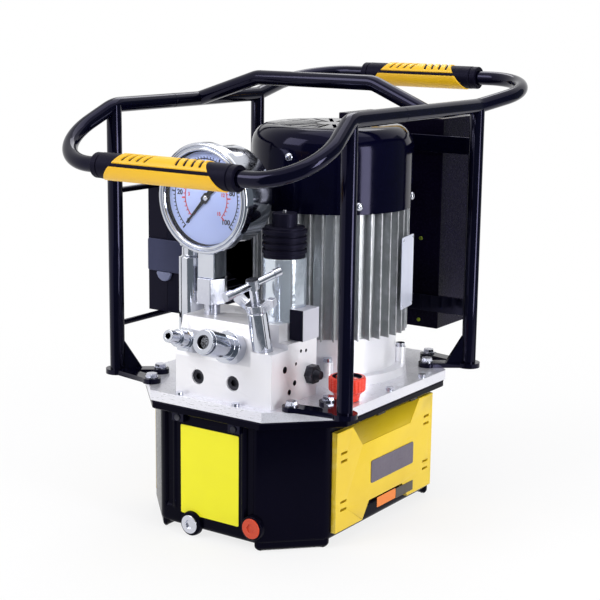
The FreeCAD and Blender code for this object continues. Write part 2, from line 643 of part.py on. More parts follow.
def leg_bolt_offsets():
    """The two bolts of one leg, as distances from the middle of the cover plate."""
    return [
        (PLATE_HALF_X - S.bolt_a_in_x, PLATE_HALF_Y - S.bolt_a_in_y),
        (PLATE_HALF_X - S.bolt_b_in_x, PLATE_HALF_Y - S.bolt_b_in_y),
    ]


def leg_bolt_spots():
    spots = []
    for sign_x, sign_y in CORNERS:
        for x, y in leg_bolt_offsets():
            spots.append((x * sign_x, y * sign_y))
    return spots


def lug_spots():
    """Screws that hold the motor's end bell, evenly round its axis."""
    spots = []
    for index in range(4):
        angle = S.lug_start + 90 * index
        spots.append((S.motor_x + S.lug_circle * cosine(angle), MOTOR_Y + S.lug_circle * sine(angle)))
    return spots


LEFT_FACE = (FreeCAD.Vector(1, -1, -1), 120.0)  # local x to -Y, local y to +Z, local z to -X


def build_side_panel(name, sign, turn):
    body = new_body(name)
    half = TANK_HALF_Y - S.tank_corner - S.panel_inset
    outline = [
        (-half, S.panel_base), (-S.notch_half_low, S.panel_base),
        (-S.notch_half_high, S.panel_base + S.notch_height),
        (S.notch_half_high, S.panel_base + S.notch_height), (S.notch_half_low, S.panel_base),
        (half, S.panel_base), (half, PANEL_TOP), (-half, PANEL_TOP),
    ]
    padded(body, name + "_sheet", [outline], S.panel_thick)
    facet_low = PANEL_TOP - S.facet_depth
    facet = [
        (-S.facet_half_low, facet_low), (S.facet_half_low, facet_low),
        (S.facet_half_high, PANEL_TOP), (-S.facet_half_high, PANEL_TOP),
    ]
    pocketed(body, name + "_facet", [facet], S.panel_relief, S.panel_thick)
    slits = []
    for side in (-1, 1):
        for base in (S.panel_base + S.slit_low, PANEL_TOP - S.slit_high):
            for row in range(2):
                low_x = (half - S.slit_edge) * side - S.slit_length / 2
                low_y = base + S.slit_pitch * row
                slits.append(rectangle(low_x, low_y, low_x + S.slit_length, low_y + S.slit_height))
    pocketed(body, name + "_slits", slits, S.panel_thick, S.panel_thick)
    put(body, TANK_HALF_X * sign, 0, 0, turn)
    node(body, name)


def build_tank_plugs():
    y = -(TANK_HALF_Y + S.boss_height / 2)
    spots = (("drain_plug", S.drain_x, S.drain_z, S.drain_radius, S.drain_thick),
             ("sight_plug", S.sight_x, S.sight_z, S.sight_radius, S.sight_thick))
    for name, x, z, radius, thick in spots:
        head = cylinder(name + "_head", radius, thick, x, y, z, FORWARD)
        shank = cylinder(
        name + "_shank", S.plug_shank_radius, S.plug_shank + 1, x, y + S.plug_shank, z, FORWARD)
        socket = hexagon(name + "_socket", S.drain_hex, thick / 2 + 1, x, y - thick / 2, z, FORWARD)
        node(drilled(name, joined(name + "_solid", [head, shank]), [socket]), name)


# ---------------------------------------------------------------- carrying frame

def vector(x, y, z):
    return FreeCAD.Vector(sized(x).value, sized(y).value, sized(z).value)


def centre_line(points, radii):
    """Straight runs through the points, with a tangent arc of the given radius at each inner point."""
    edges = []
    start = points[0]
    for index in range(1, len(points) - 1):
        corner = points[index]
        before = (corner - points[index - 1]).normalize()
        after = (points[index + 1] - corner).normalize()
        half_angle = before.getAngle(after) / 2
        reach = radii[index - 1] * math.tan(half_angle)
        arc_start = corner - before * reach
        arc_end = corner + after * reach
        inward = (after - before).normalize()
        middle = corner + inward * (radii[index - 1] / math.cos(half_angle) - radii[index - 1])
        edges.append(Part.LineSegment(start, arc_start).toShape())
        edges.append(Part.Arc(arc_start, middle, arc_end).toShape())
        start = arc_end
    edges.append(Part.LineSegment(start, points[-1]).toShape())
    return Part.Wire(edges)


def rod_along(wire, radius):
    """A round bar swept along a centre line."""
    first = wire.Edges[0]
    circle = Part.Circle(first.valueAt(first.FirstParameter), first.tangentAt(first.FirstParameter), radius)
    return wire.makePipeShell([Part.Wire([circle.toShape()])], True, True)


def tube_along(name, points, radii):
    """The outside of a tube as one object, and the tube itself with its bore as another."""
    wire = centre_line(points, radii)
    outside = rod_along(wire, S.tube_radius.value)
    bore = rod_along(wire, S.tube_radius.value - S.tube_wall.value)
    return fixed_shape(name + "_outside", outside), fixed_shape(name + "_tube", outside.cut(bore))


def loop_points(sign, reach, rise, splay_left, splay_right):
    """Corners of a carrying loop's centre line, from the right side's seam round to the left's."""
    post_y = POST_Y * sign
    end_y = (POST_Y + reach) * sign
    return [
        vector(POST_X, S.seam_y, RAIL_Z),
        vector(POST_X, post_y, RAIL_Z),
        vector(POST_X + splay_right, end_y, RAIL_Z + rise),
        vector(-(POST_X + splay_left), end_y, RAIL_Z + rise),
        vector(-POST_X, post_y, RAIL_Z),
        vector(-POST_X, S.seam_y, RAIL_Z),
    ]


def build_loops():
    fold = S.fold_radius.value
    front_bend, rear_bend = S.front_bend.value, S.rear_bend.value
    front_points = loop_points(-1, S.front_reach, -S.front_drop, S.front_splay_left, S.front_splay_right)
    rear_points = loop_points(1, S.rear_reach, S.rear_rise, S.rear_splay_left, S.rear_splay_right)
    front = tube_along("front_loop", front_points, [fold, front_bend, front_bend, fold])
    rear = tube_along("rear_loop", rear_points, [fold, rear_bend, rear_bend, fold])
    node(front[1], "front_carry_loop")
    node(rear[1], "rear_carry_loop")
    level = RAIL_Z + S.cross_rise
    points = [
        vector(POST_X, S.cross_y, RAIL_Z),
        vector(S.cross_flat_right, S.cross_y, level),
        vector(-S.cross_flat_left, S.cross_y, level),
        vector(-POST_X, S.cross_y, RAIL_Z),
    ]
    bend = S.cross_bend.value
    bar = tube_along("cross", points, [bend, bend])
    node(drilled("cross_bar", bar[1], [rear[0]]), "cross_bar")
    return front[0], rear[0]


def build_leg(name, sign_x, sign_y, rail):
    """A post with its foot: two arms to the bolts, a pad under the post, and a gusset between them."""
    post_x, post_y = POST_X * sign_x, POST_Y * sign_y
    post = cylinder(name + "_post", S.tube_radius, S.rail_height, post_x, post_y, PLATE_TOP)
    bore_base = PLATE_TOP + S.foot_thick
    bore = cylinder(
        name + "_bore", S.tube_radius - S.tube_wall, S.rail_height, post_x, post_y, bore_base)
    solids = [post, cylinder(name + "_pad", S.foot_pad_radius, S.foot_thick, post_x, post_y, PLATE_TOP)]
    holes = [bore, rail]
    for mark, (bolt_x, bolt_y) in zip("ab", leg_bolt_offsets()):
        end_x, end_y = bolt_x * sign_x, bolt_y * sign_y
        across, up = end_x - post_x, end_y - post_y
        length = root(across * across + up * up)
        angle = bearing(across, up)
        half = S.arm_width / 2
        arm = slab(
            "%s_arm_%s" % (name, mark), length, S.arm_width, S.foot_thick,
            post_x + half * sine(angle), post_y - half * cosine(angle), PLATE_TOP,
            (FreeCAD.Vector(0, 0, 1), angle))
        boss = cylinder(
            "%s_end_%s" % (name, mark), S.arm_end_radius, S.foot_thick, end_x, end_y, PLATE_TOP)
        hole = cylinder(
            "%s_hole_%s" % (name, mark), S.bolt_radius + S.hole_clearance, S.foot_thick, end_x, end_y,
            PLATE_TOP)
        solids += [arm, boss]
        holes.append(hole)
    gusset = new_body(name + "_gusset")
    outline = [
        (S.tube_radius - 2, 1), (S.gusset_reach, 1), (S.gusset_reach, S.foot_thick),
        (S.tube_radius, S.gusset_height), (S.tube_radius - 2, S.gusset_height),
    ]
    padded(gusset, name + "_web", [outline], S.gusset_thick, -S.gusset_thick / 2, "XZ_Plane")
    inward = math.degrees(math.atan2(-sign_y, -sign_x))
    put(gusset, post_x, post_y, PLATE_TOP, (FreeCAD.Vector(0, 0, 1), inward))
    solids.append(gusset)
    node(drilled(name, joined(name + "_solid", solids), holes), name)


def build_grips():
    sleeves, shells = [], []
    places = (
        ("front", S.front_grip_x, FRONT_GRIP_Y, RAIL_Z - S.front_drop, S.front_grip),
        ("rear", S.rear_grip_x, REAR_GRIP_Y, RAIL_Z + S.rear_rise, S.rear_grip),
    )
    bore = S.tube_radius + S.running_clearance
    for name, x, y, z, length in places:
        end = length + S.collar_width * 2
        body = turned(name + "_sleeve", [
            (bore, 0), (S.collar_radius, 0), (S.collar_radius, S.collar_width),
            (S.sleeve_radius, S.collar_width), (S.sleeve_radius, end - S.collar_width),
            (S.collar_radius, end - S.collar_width), (S.collar_radius, end), (bore, end)])
        sleeves.append(put(body, x - end / 2, y, z, RIGHTWARD))
        gap = S.running_clearance
        inner = S.sleeve_radius + gap
        for side, base_x, turn in (("rear", x - length / 2 + gap, (FreeCAD.Vector(0, 1, 0), 90.0)),
                                   ("front", x - length / 2 + gap, (FreeCAD.Vector(1, 0, 1), 180.0))):
            label = "%s_%s_shell" % (name, side)
            shell = cylinder(label, S.shell_radius, length - 2 * gap, base_x, y, z, turn)
            shell.Angle = 178
            core = cylinder(label + "_core", inner, length, base_x, y, z, turn)
            shells.append(drilled(label + "_half", shell, [core]))
    node(bunch("grip_sleeves", sleeves), "grip_sleeves")
    node(bunch("grip_shells", shells), "grip_shells")


def build_fasteners():
    """Leg bolts, cover screws, motor screws and clamp screws, all as loose solids in one node."""
    items = []
    for index, (x, y) in enumerate(leg_bolt_spots()):
        top = PLATE_TOP + S.foot_thick
        items.append(bolt("leg_bolt_%d" % index, x, y, top, S.foot_thick + S.plate_thick - 1))
    for index, (x, y) in enumerate(lug_spots()):
        top = PLATE_TOP + S.flange_thick + S.lug_height
        name = "motor_screw_%d" % index
        length = S.flange_thick + S.lug_height + S.plate_thick - 1
        head = cylinder(name + "_head", S.cap_head_radius, S.cap_head_height, x, y, top)
        shank = cylinder(name + "_shank", S.bolt_radius, length + 1, x, y, top - length)
        items.append(joined(name, [head, shank]))
    for index, (x, y) in enumerate(screw_spots()):
        name = "cover_screw_%d" % index
        head = cylinder(name + "_head", S.screw_head_radius, S.screw_head_height, x, y, PLATE_TOP)
        length = S.plate_thick + S.gasket_thick + S.screw_reach - 1
        shank = cylinder(name + "_shank", S.screw_radius, length + 1, x, y, PLATE_TOP - length)
        items.append(joined(name, [head, shank]))
    level = TANK_TOP - S.rim_height - S.clamp_height / 2
    for index, (x, y, turn) in enumerate(clamp_spots()):
        name = "clamp_screw_%d" % index
        length = S.clamp_bite + S.hole_clearance + S.clamp_thick
        step = length
        shank = cylinder(name + "_shank", S.clamp_screw_radius, length + 1, x, y, level, turn)
        if turn in (FORWARD, BACKWARD):
            y = y + step if turn is BACKWARD else y - step
        else:
            x = x + step if turn is RIGHTWARD else x - step
        head = cylinder(name + "_head", S.clamp_head_radius, S.clamp_head_height, x, y, level, turn)
        items.append(joined(name, [head, shank]))
    node(bunch("plate_fasteners", items), "plate_fasteners")


def bolt(name, x, y, top, length):
    """A flanged hexagon bolt whose head sits on a level."""
    flange = cylinder(name + "_flange", S.bolt_flange_radius, S.bolt_flange_thick, x, y, top)
    head = hexagon(name + "_hex", S.bolt_hex, S.bolt_head_height, x, y, top)
    shank = cylinder(name + "_shank", S.bolt_radius, length + 1, x, y, top - length)
    return joined(name, [flange, head, shank])


# ---------------------------------------------------------------- motor

def motor_piece(item, level):
    return put(item, S.motor_x, MOTOR_Y, PLATE_TOP + level)


def build_motor():
    seat = S.bearing_radius + S.running_clearance
    seat_wall = S.bearing_radius + S.seat_wall
    throat = S.shaft_radius + S.throat_gap
    spigot = PLATE_BORE - S.hole_clearance
    bell_bore = S.bell_radius - S.bell_wall
    seat_top = S.lower_bearing_base + S.bearing_width
    bell = turned("bell", [
        (throat, -S.bell_spigot), (spigot, -S.bell_spigot), (spigot, 0),
        (S.flange_radius, 0), (S.flange_radius, S.flange_thick), (S.bell_radius, S.flange_thick),
        (S.bell_radius, S.bell_height), (bell_bore, S.bell_height), (bell_bore, S.flange_thick),
        (seat_wall, S.flange_thick), (seat_wall, seat_top), (seat, seat_top),
        (seat, S.lower_bearing_base), (throat, S.lower_bearing_base)])
    motor_piece(bell, 0)
    lug_base = PLATE_TOP + S.flange_thick - 1
    lugs, holes = [bell], []
    for index, (x, y) in enumerate(lug_spots()):
        lugs.append(cylinder("lug_%d" % index, S.lug_radius, S.lug_height + 1, x, y, lug_base))
        hole = S.bolt_radius + S.hole_clearance
        length = S.flange_thick + S.lug_height
        holes.append(cylinder("lug_hole_%d" % index, hole, length, x, y, PLATE_TOP))
    node(drilled("motor_bell", joined("bell_solid", lugs), holes), "motor_bell")

    bore = S.housing_radius - S.housing_wall
    web_top = S.housing_top - S.housing_recess
    web_base = web_top - S.web_thick
    seat_base = web_base - S.bearing_width
    housing = turned("housing", [
        (S.housing_radius, S.bell_height), (S.housing_radius, S.housing_top), (bore, S.housing_top),
        (bore, web_top), (throat, web_top), (throat, web_base), (seat, web_base), (seat, seat_base),
        (seat_wall, seat_base), (seat_wall, web_base), (bore, web_base), (bore, S.bell_height)])
    fin = padded(
        housing, "fin",
        [rectangle(S.housing_radius - 1, -S.fin_thick / 2, S.fin_radius, S.fin_thick / 2)],
        S.housing_top - S.bell_height, S.bell_height)
    around(housing, "fins", fin, S.fin_count)
    node(motor_piece(housing, 0), "motor_housing")

    stator = turned("stator", [
        (S.stator_bore, 0), (bore - S.running_clearance, 0), (bore - S.running_clearance, S.stator_height),
        (S.stator_bore, S.stator_height)])
    node(motor_piece(stator, S.stator_base), "motor_stator")

    core = S.stator_bore - S.air_gap
    core_top = S.stator_base + S.stator_height
    rotor = turned("rotor", [
        (0, -S.shaft_drop), (S.shaft_radius, -S.shaft_drop), (S.shaft_radius, S.stator_base),
        (core, S.stator_base), (core, core_top), (S.shaft_radius, core_top), (S.shaft_radius, SHAFT_TOP),
        (0, SHAFT_TOP)])
    node(motor_piece(rotor, 0), "motor_rotor")

    bearings = []
    race = S.shaft_radius + S.running_clearance
    for name, level in (("lower_bearing", S.lower_bearing_base), ("upper_bearing", seat_base)):
        ring = turned(name, [
            (race, 0), (S.bearing_radius, 0), (S.bearing_radius, S.bearing_width), (race, S.bearing_width)])
        bearings.append(motor_piece(ring, level))
    node(bunch("motor_bearings", bearings), "motor_bearings")

    inner = S.fin_radius + S.hole_clearance
    outer = inner + S.cowl_wall
    rise = S.cowl_crown
    outside, inside = [], []
    for step in range(7):
        angle = 15.0 * step
        across = (outer - S.cowl_top_radius) * math.cos(math.radians(angle))
        up = rise * math.sin(math.radians(angle))
        outside.append((S.cowl_top_radius + across, COWL_SHOULDER + up))
        across = (inner - S.cowl_top_radius) * math.cos(math.radians(angle))
        up = (rise - S.cowl_wall) * math.sin(math.radians(angle))
        inside.append((S.cowl_top_radius + across, COWL_SHOULDER + up))
    cowl = turned("cowl", (
        [(outer, COWL_BASE)] + outside + [(0, COWL_TOP), (0, COWL_TOP - S.cowl_wall)]
        + inside[::-1] + [(inner, COWL_BASE)]))
    slot = pocketed(
        cowl, "grille_slot",
        [rectangle(S.grille_inner, -S.grille_slot / 2, S.grille_outer, S.grille_slot / 2)],
        S.cowl_wall, COWL_TOP)
    around(cowl, "grille", slot, S.grille_count)
    node(motor_piece(cowl, 0), "fan_cowl")

    bore = S.shaft_radius + S.running_clearance
    fan = turned("fan_wheel", [
        (bore, 0), (S.fan_hub_radius, 0), (S.fan_hub_radius, S.fan_height), (bore, S.fan_height)])
    blade = padded(
        fan, "fan_blade",
        [rectangle(S.fan_hub_radius - 1, -S.fan_blade_thick / 2, S.fan_radius, S.fan_blade_thick / 2)],
        S.fan_height - 4, sized(2))
    around(fan, "fan_blades", blade, S.fan_blade_count)
    node(motor_piece(fan, FAN_BASE), "cooling_fan")

    bore = S.shaft_radius + S.running_clearance
    small = S.pump_shaft_radius + S.running_clearance
    top = -S.coupling_drop
    middle = -S.shaft_drop - S.shaft_end_gap
    coupling = turned("coupling", [
        (bore, top), (S.coupling_radius, top), (S.coupling_radius, top - S.coupling_length),
        (small, top - S.coupling_length), (small, middle), (bore, middle)])
    node(motor_piece(coupling, 0), "shaft_coupling")


# ---------------------------------------------------------------- pump

def pump_piece(item, level):
    return put(item, S.motor_x, MOTOR_Y, PLATE_BASE + level)


def build_pump():
    neck_base = -(S.pump_flange_thick + S.pump_neck_length)
    body_base = neck_base - S.pump_body_height
    neck = NECK_BORE + S.pump_neck_wall
    journal = S.pump_shaft_radius + S.running_clearance
    cam_top = neck_base - S.journal_length
    casting = turned("pump_casting", [
        (NECK_BORE, 0), (S.pump_flange_radius, 0), (S.pump_flange_radius, -S.pump_flange_thick),
        (neck, -S.pump_flange_thick), (neck, neck_base),
        (S.pump_body_radius, neck_base), (S.pump_body_radius, body_base), (S.cam_room, body_base),
        (S.cam_room, cam_top), (journal, cam_top), (journal, neck_base), (NECK_BORE, neck_base)])
    pump_piece(casting, 0)
    cam_middle = cam_top - 2 - S.cam_height / 2
    level = PLATE_BASE + cam_middle
    bore = S.piston_radius + S.running_clearance
    park = S.cam_radius + S.cam_offset + S.piston_gap
    bores, pistons = [], []
    for index in range(round(S.piston_count.value)):
        angle = sized(360.0 * index) / S.piston_count
        way = math.radians(angle.value)
        direction = FreeCAD.Vector(math.cos(way), math.sin(way), 0)
        turn = (FreeCAD.Vector(0, 0, 1).cross(direction), 90.0)
        bore_x = S.motor_x + (S.cam_room - 3) * cosine(angle)
        bore_y = MOTOR_Y + (S.cam_room - 3) * sine(angle)
        bores.append(cylinder(
            "piston_bore_%d" % index, bore, S.pump_body_radius - S.cam_room + 6, bore_x, bore_y, level, turn))
        piston_x = S.motor_x + park * cosine(angle)
        piston_y = MOTOR_Y + park * sine(angle)
        pistons.append(cylinder(
            "piston_%d" % index, S.piston_radius, S.piston_length, piston_x, piston_y, level, turn))
    node(drilled("pump_housing", casting, bores), "pump_housing")
    node(bunch("pump_pistons", pistons), "pump_pistons")

    shaft_base = cam_middle - S.cam_height / 2 - 6
    shaft_top = S.plate_thick - S.shaft_drop - 2 * S.shaft_end_gap
    shaft = cylinder(
        "crank", S.pump_shaft_radius, shaft_top - shaft_base, S.motor_x, MOTOR_Y, PLATE_BASE + shaft_base)
    cam = cylinder(
        "cam", S.cam_radius, S.cam_height, S.motor_x - S.cam_offset, MOTOR_Y,
        level - S.cam_height / 2)
    node(joined("pump_eccentric", [shaft, cam]), "pump_eccentric")

    height = PLATE_BASE + body_base - S.foot_height - S.tank_floor - S.strainer_floor_gap
    strainer = turned("strainer", [
        (S.strainer_radius - 2, 0), (S.cam_room + 6, 0), (S.cam_room + 6, -3), (S.strainer_radius, -3),
        (S.strainer_radius, -height), (0, -height), (0, 2 - height), (S.strainer_radius - 2, 2 - height)])
    slot = pocketed(
        strainer, "strainer_slot", [rectangle(S.strainer_radius - 3, -1, S.strainer_radius + 1, 1)],
        height - 8, sized(-5))
    around(strainer, "strainer_slots", slot, sized(16))
    node(pump_piece(strainer, body_base), "suction_strainer")


# ---------------------------------------------------------------- valve block

def on_face(distance):
    """Place on the couplings' axes, at a distance out of the block's inclined face."""
    base_y = BLOCK_FRONT + S.coupler_up * sine(S.block_tilt) / cosine(S.block_tilt)
    base_z = PLATE_TOP + S.block_lip + S.coupler_up
    return base_y - distance * cosine(S.block_tilt), base_z + distance * sine(S.block_tilt)


def on_relief(distance):
    """Place on the relief valve's axis."""
    y = RELIEF_Y - distance * sine(S.relief_tilt)
    return y, PLATE_TOP + S.ledge_height + distance * cosine(S.relief_tilt)


COUPLER_TURN = (FreeCAD.Vector(1, 0, 0), 90 - S.block_tilt)
RELIEF_TURN = (FreeCAD.Vector(1, 0, 0), S.relief_tilt)


def block_sections():
    """Side outlines of the block's three steps, as (low x, high x, corners)."""
    front, rear = BLOCK_FRONT, BLOCK_REAR
    lean = (S.block_height - S.block_lip) * sine(S.block_tilt) / cosine(S.block_tilt)
    step = front + S.ledge_depth
    left = [
        (front, 0), (rear, 0), (rear, S.block_height), (front + lean, S.block_height), (front, S.block_lip)]
    middle = [
        (front, 0), (rear, 0), (rear, S.block_height), (step, S.block_height), (step, S.ledge_height),
        (front, S.ledge_height)]
    right = [
        (front, 0), (rear, 0), (rear, S.side_step_height), (step, S.side_step_height),
        (step, S.ledge_height), (front, S.ledge_height)]
    return [(S.block_left, S.ledge_x, left), (S.ledge_x, S.side_step_x, middle),
            (S.side_step_x, S.block_right, right)]


def build_block():
    body = new_body("block")
    for index, (low, high, corners) in enumerate(block_sections()):
        corners = [(y, PLATE_TOP + z) for y, z in corners]
        padded(body, "block_step_%d" % index, [corners], high - low, low, "YZ_Plane")
    tools = []
    for name, x in (("female", S.female_x), ("male", S.male_x)):
        y, z = on_face(-S.port_spigot)
        tools.append(cylinder(
            name + "_port", S.port_spigot_radius + S.hole_clearance, S.port_spigot + 1, x, y, z,
            COUPLER_TURN))
    y, z = on_relief(-S.relief_sink)
    tools.append(cylinder(
        "relief_port", S.relief_radius + S.hole_clearance, S.relief_sink + S.relief_length, S.relief_x, y, z,
        RELIEF_TURN))
    top = PLATE_TOP + S.block_height
    tools.append(cylinder(
        "adapter_port", S.adapter_radius + S.hole_clearance, S.adapter_sink, S.gauge_x, GAUGE_Y,
        top - S.adapter_sink))
    tools.append(cylinder(
        "valve_port", S.coil_bore, S.plunger_foot, S.solenoid_x, SOLENOID_Y, top - S.plunger_foot))
    plug_reach = S.front_plug_sink + S.front_plug_depth
    for name, x in (("left", S.front_plug_left), ("right", S.front_plug_right)):
        tools.append(cylinder(
            name + "_plug_port", S.front_plug_radius + S.hole_clearance, plug_reach, x,
            BLOCK_FRONT + plug_reach, PLATE_TOP + S.front_plug_z, FORWARD))
    tools.append(cylinder(
        "bypass_port", S.bypass_cap_radius - 1 + S.hole_clearance, S.drilling_depth,
        S.block_right - S.drilling_depth, BLOCK_FRONT + S.bypass_back, PLATE_TOP + S.bypass_z, RIGHTWARD))
    for index, (back, z, scale) in enumerate(SIDE_DRILLINGS):
        y = BLOCK_FRONT + back
        tools.append(cylinder(
            "side_drilling_%d" % index, S.drilling_radius * scale, S.drilling_depth,
            S.block_right - S.drilling_depth, y, PLATE_TOP + z, RIGHTWARD))
    node(drilled("manifold_block", body, tools), "manifold_block")


# Blind drillings in the block's right face: distance behind its front, height over the plate, size.
SIDE_DRILLINGS = [
    (48.4, 48.0, 1.0), (57.0, 47.0, 1.0), (40.3, 37.0, 1.0), (22.0, 34.6, 2.0), (38.3, 18.7, 1.6),
    (29.6, 11.3, 1.6),
]


def build_port_plugs():
    items = []
    for name, x in (("left", S.front_plug_left), ("right", S.front_plug_right)):
        y = BLOCK_FRONT + S.front_plug_sink
        z = PLATE_TOP + S.front_plug_z
        plug = cylinder(
            name + "_plug", S.front_plug_radius, S.front_plug_depth, x, y + S.front_plug_depth, z, FORWARD)
        socket = hexagon(name + "_plug_socket", S.front_plug_hex, S.front_plug_depth / 2, x, y
                         + S.front_plug_depth / 2, z, FORWARD)
        items.append(drilled(name + "_port_plug", plug, [socket]))
    y, z = BLOCK_FRONT + S.bypass_back, PLATE_TOP + S.bypass_z
    face = S.block_right
    depth = S.drilling_depth - 1
    parts = [
        hexagon("bypass_hexagon", S.bypass_hex, S.bypass_length, face, y, z, RIGHTWARD),
        cylinder("bypass_shank", S.bypass_cap_radius - 1, depth + 1, face - depth, y, z, RIGHTWARD),
        cone("bypass_cap", S.bypass_cap_radius, S.bypass_cap_radius - 2, S.bypass_cap_length,
             face + S.bypass_length, y, z, RIGHTWARD),
    ]
    items.append(joined("bypass_plug", parts))
    node(bunch("port_plugs", items), "port_plugs")


def build_couplers():
    mouth = S.slide_start + S.slide_length + 1
    step = S.female_length - S.female_bore_depth
    profile = [
        (S.male_bore, -S.port_spigot), (S.port_spigot_radius, -S.port_spigot), (S.port_spigot_radius, 0),
        (S.female_flange_radius, 0), (S.female_flange_radius, S.female_flange),
        (S.female_body_radius, S.female_flange), (S.female_body_radius, mouth),
        (S.female_body_radius + 1, mouth), (S.female_body_radius + 1, S.female_length),
        (S.female_bore, S.female_length), (S.female_bore, step), (S.male_bore, step)]
    y, z = on_face(sized(0))
    node(put(turned("female", profile), S.female_x, y, z, COUPLER_TURN), "female_coupler")
    bore = S.female_body_radius + S.running_clearance
    sleeve = turned("slide", [
        (bore, 0), (S.sleeve_outer, 0), (S.sleeve_outer, S.slide_length), (bore, S.slide_length)])
    y, z = on_face(S.slide_start)
    node(put(sleeve, S.female_x, y, z, COUPLER_TURN), "coupler_sleeve")

    neck_top = S.male_hex_length + S.male_neck_length
    y, z = on_face(sized(0))
    barrel = turned("male_barrel", [
        (S.male_bore, -S.port_spigot), (S.port_spigot_radius, -S.port_spigot),
        (S.port_spigot_radius, 1), (S.male_neck_radius, 1), (S.male_neck_radius, neck_top),
        (S.male_tip_radius, neck_top), (S.male_tip_radius, neck_top + S.male_tip_length),
        (S.male_bore, neck_top + S.male_tip_length)])
    put(barrel, S.male_x, y, z, COUPLER_TURN)
    grip = hexagon("male_hexagon", S.male_hex, S.male_hex_length, S.male_x, y, z, COUPLER_TURN)
    start_y, start_z = on_face(-S.port_spigot)
    bore = cylinder(
        "male_bore", S.male_bore, S.port_spigot + neck_top, S.male_x, start_y, start_z, COUPLER_TURN)
    node(drilled("male_coupler", joined("male_solid", [barrel, grip]), [bore]), "male_coupler")


def build_relief_valve():
    y, z = on_relief(-S.relief_sink)
    total = S.relief_sink + S.relief_length
    body = turned("relief", [
        (0, 0), (S.relief_radius, 0), (S.relief_radius, total - 2), (S.relief_radius - 2, total),
        (S.relief_bore, total), (S.relief_bore, total - S.relief_bore_depth),
        (0, total - S.relief_bore_depth)])
    node(put(body, S.relief_x, y, z, RELIEF_TURN), "relief_valve_body")

    hub = turned("lock_hub", [
        (S.relief_bore, 0), (S.lock_hub_radius, 0), (S.lock_hub_radius, S.lock_hub_height),
        (S.relief_bore, S.lock_hub_height)])
    wings = new_body("lock_wings")
    outline = [
        (S.relief_bore + 2, 0), (S.lock_hub_radius + 2, 0), (S.wing_reach, S.lock_hub_height),
        (S.wing_reach, S.wing_rise), (S.wing_reach - 7, S.wing_rise),
        (S.lock_hub_radius - 2, S.lock_hub_height)]
    mirrored = [(-x, z) for x, z in outline]
    padded(wings, "wings", [outline, mirrored], S.wing_thick, -S.wing_thick / 2, "XZ_Plane")
    nut = joined("lock_nut", [hub, wings])
    y, z = on_relief(S.relief_length + 0.1)
    node(put(nut, S.relief_x, y, z, RELIEF_TURN), "relief_lock_nut")

    start = S.relief_length - 14
    y, z = on_relief(start)
    spindle = cylinder(
        "relief_spindle", S.spindle_radius, S.handle_level - start, S.relief_x, y, z, RELIEF_TURN)
    node(spindle, "relief_spindle")

    half_hub = S.handle_hub_height / 2
    length = S.handle_bar_length
    bar = cylinder("handle_bar", S.handle_bar_radius, length, -length / 2, 0, 0, RIGHTWARD)
    ends = [
        cylinder("handle_end_low", S.handle_end_radius, S.handle_end_length, -length / 2, 0, 0, RIGHTWARD),
        cylinder(
            "handle_end_high", S.handle_end_radius, S.handle_end_length, length / 2 - S.handle_end_length,
            0, 0, RIGHTWARD),
    ]
    cross = put(joined("handle_cross", [bar] + ends), 0, 0, 0, (FreeCAD.Vector(0, 0, 1), S.handle_turn))
    hub = cylinder("handle_hub", S.handle_hub_radius, S.handle_hub_height, 0, 0, -half_hub)
    socket = cylinder(
        "handle_socket", S.spindle_radius + S.running_clearance, half_hub + 0.1, 0, 0, -half_hub)
    handle = drilled("handle", joined("handle_solid", [hub, cross]), [socket])
    y, z = on_relief(S.handle_level)
    node(put(handle, S.relief_x, y, z, RELIEF_TURN), "relief_t_handle")


# ---------------------------------------------------------------- pressure gauge

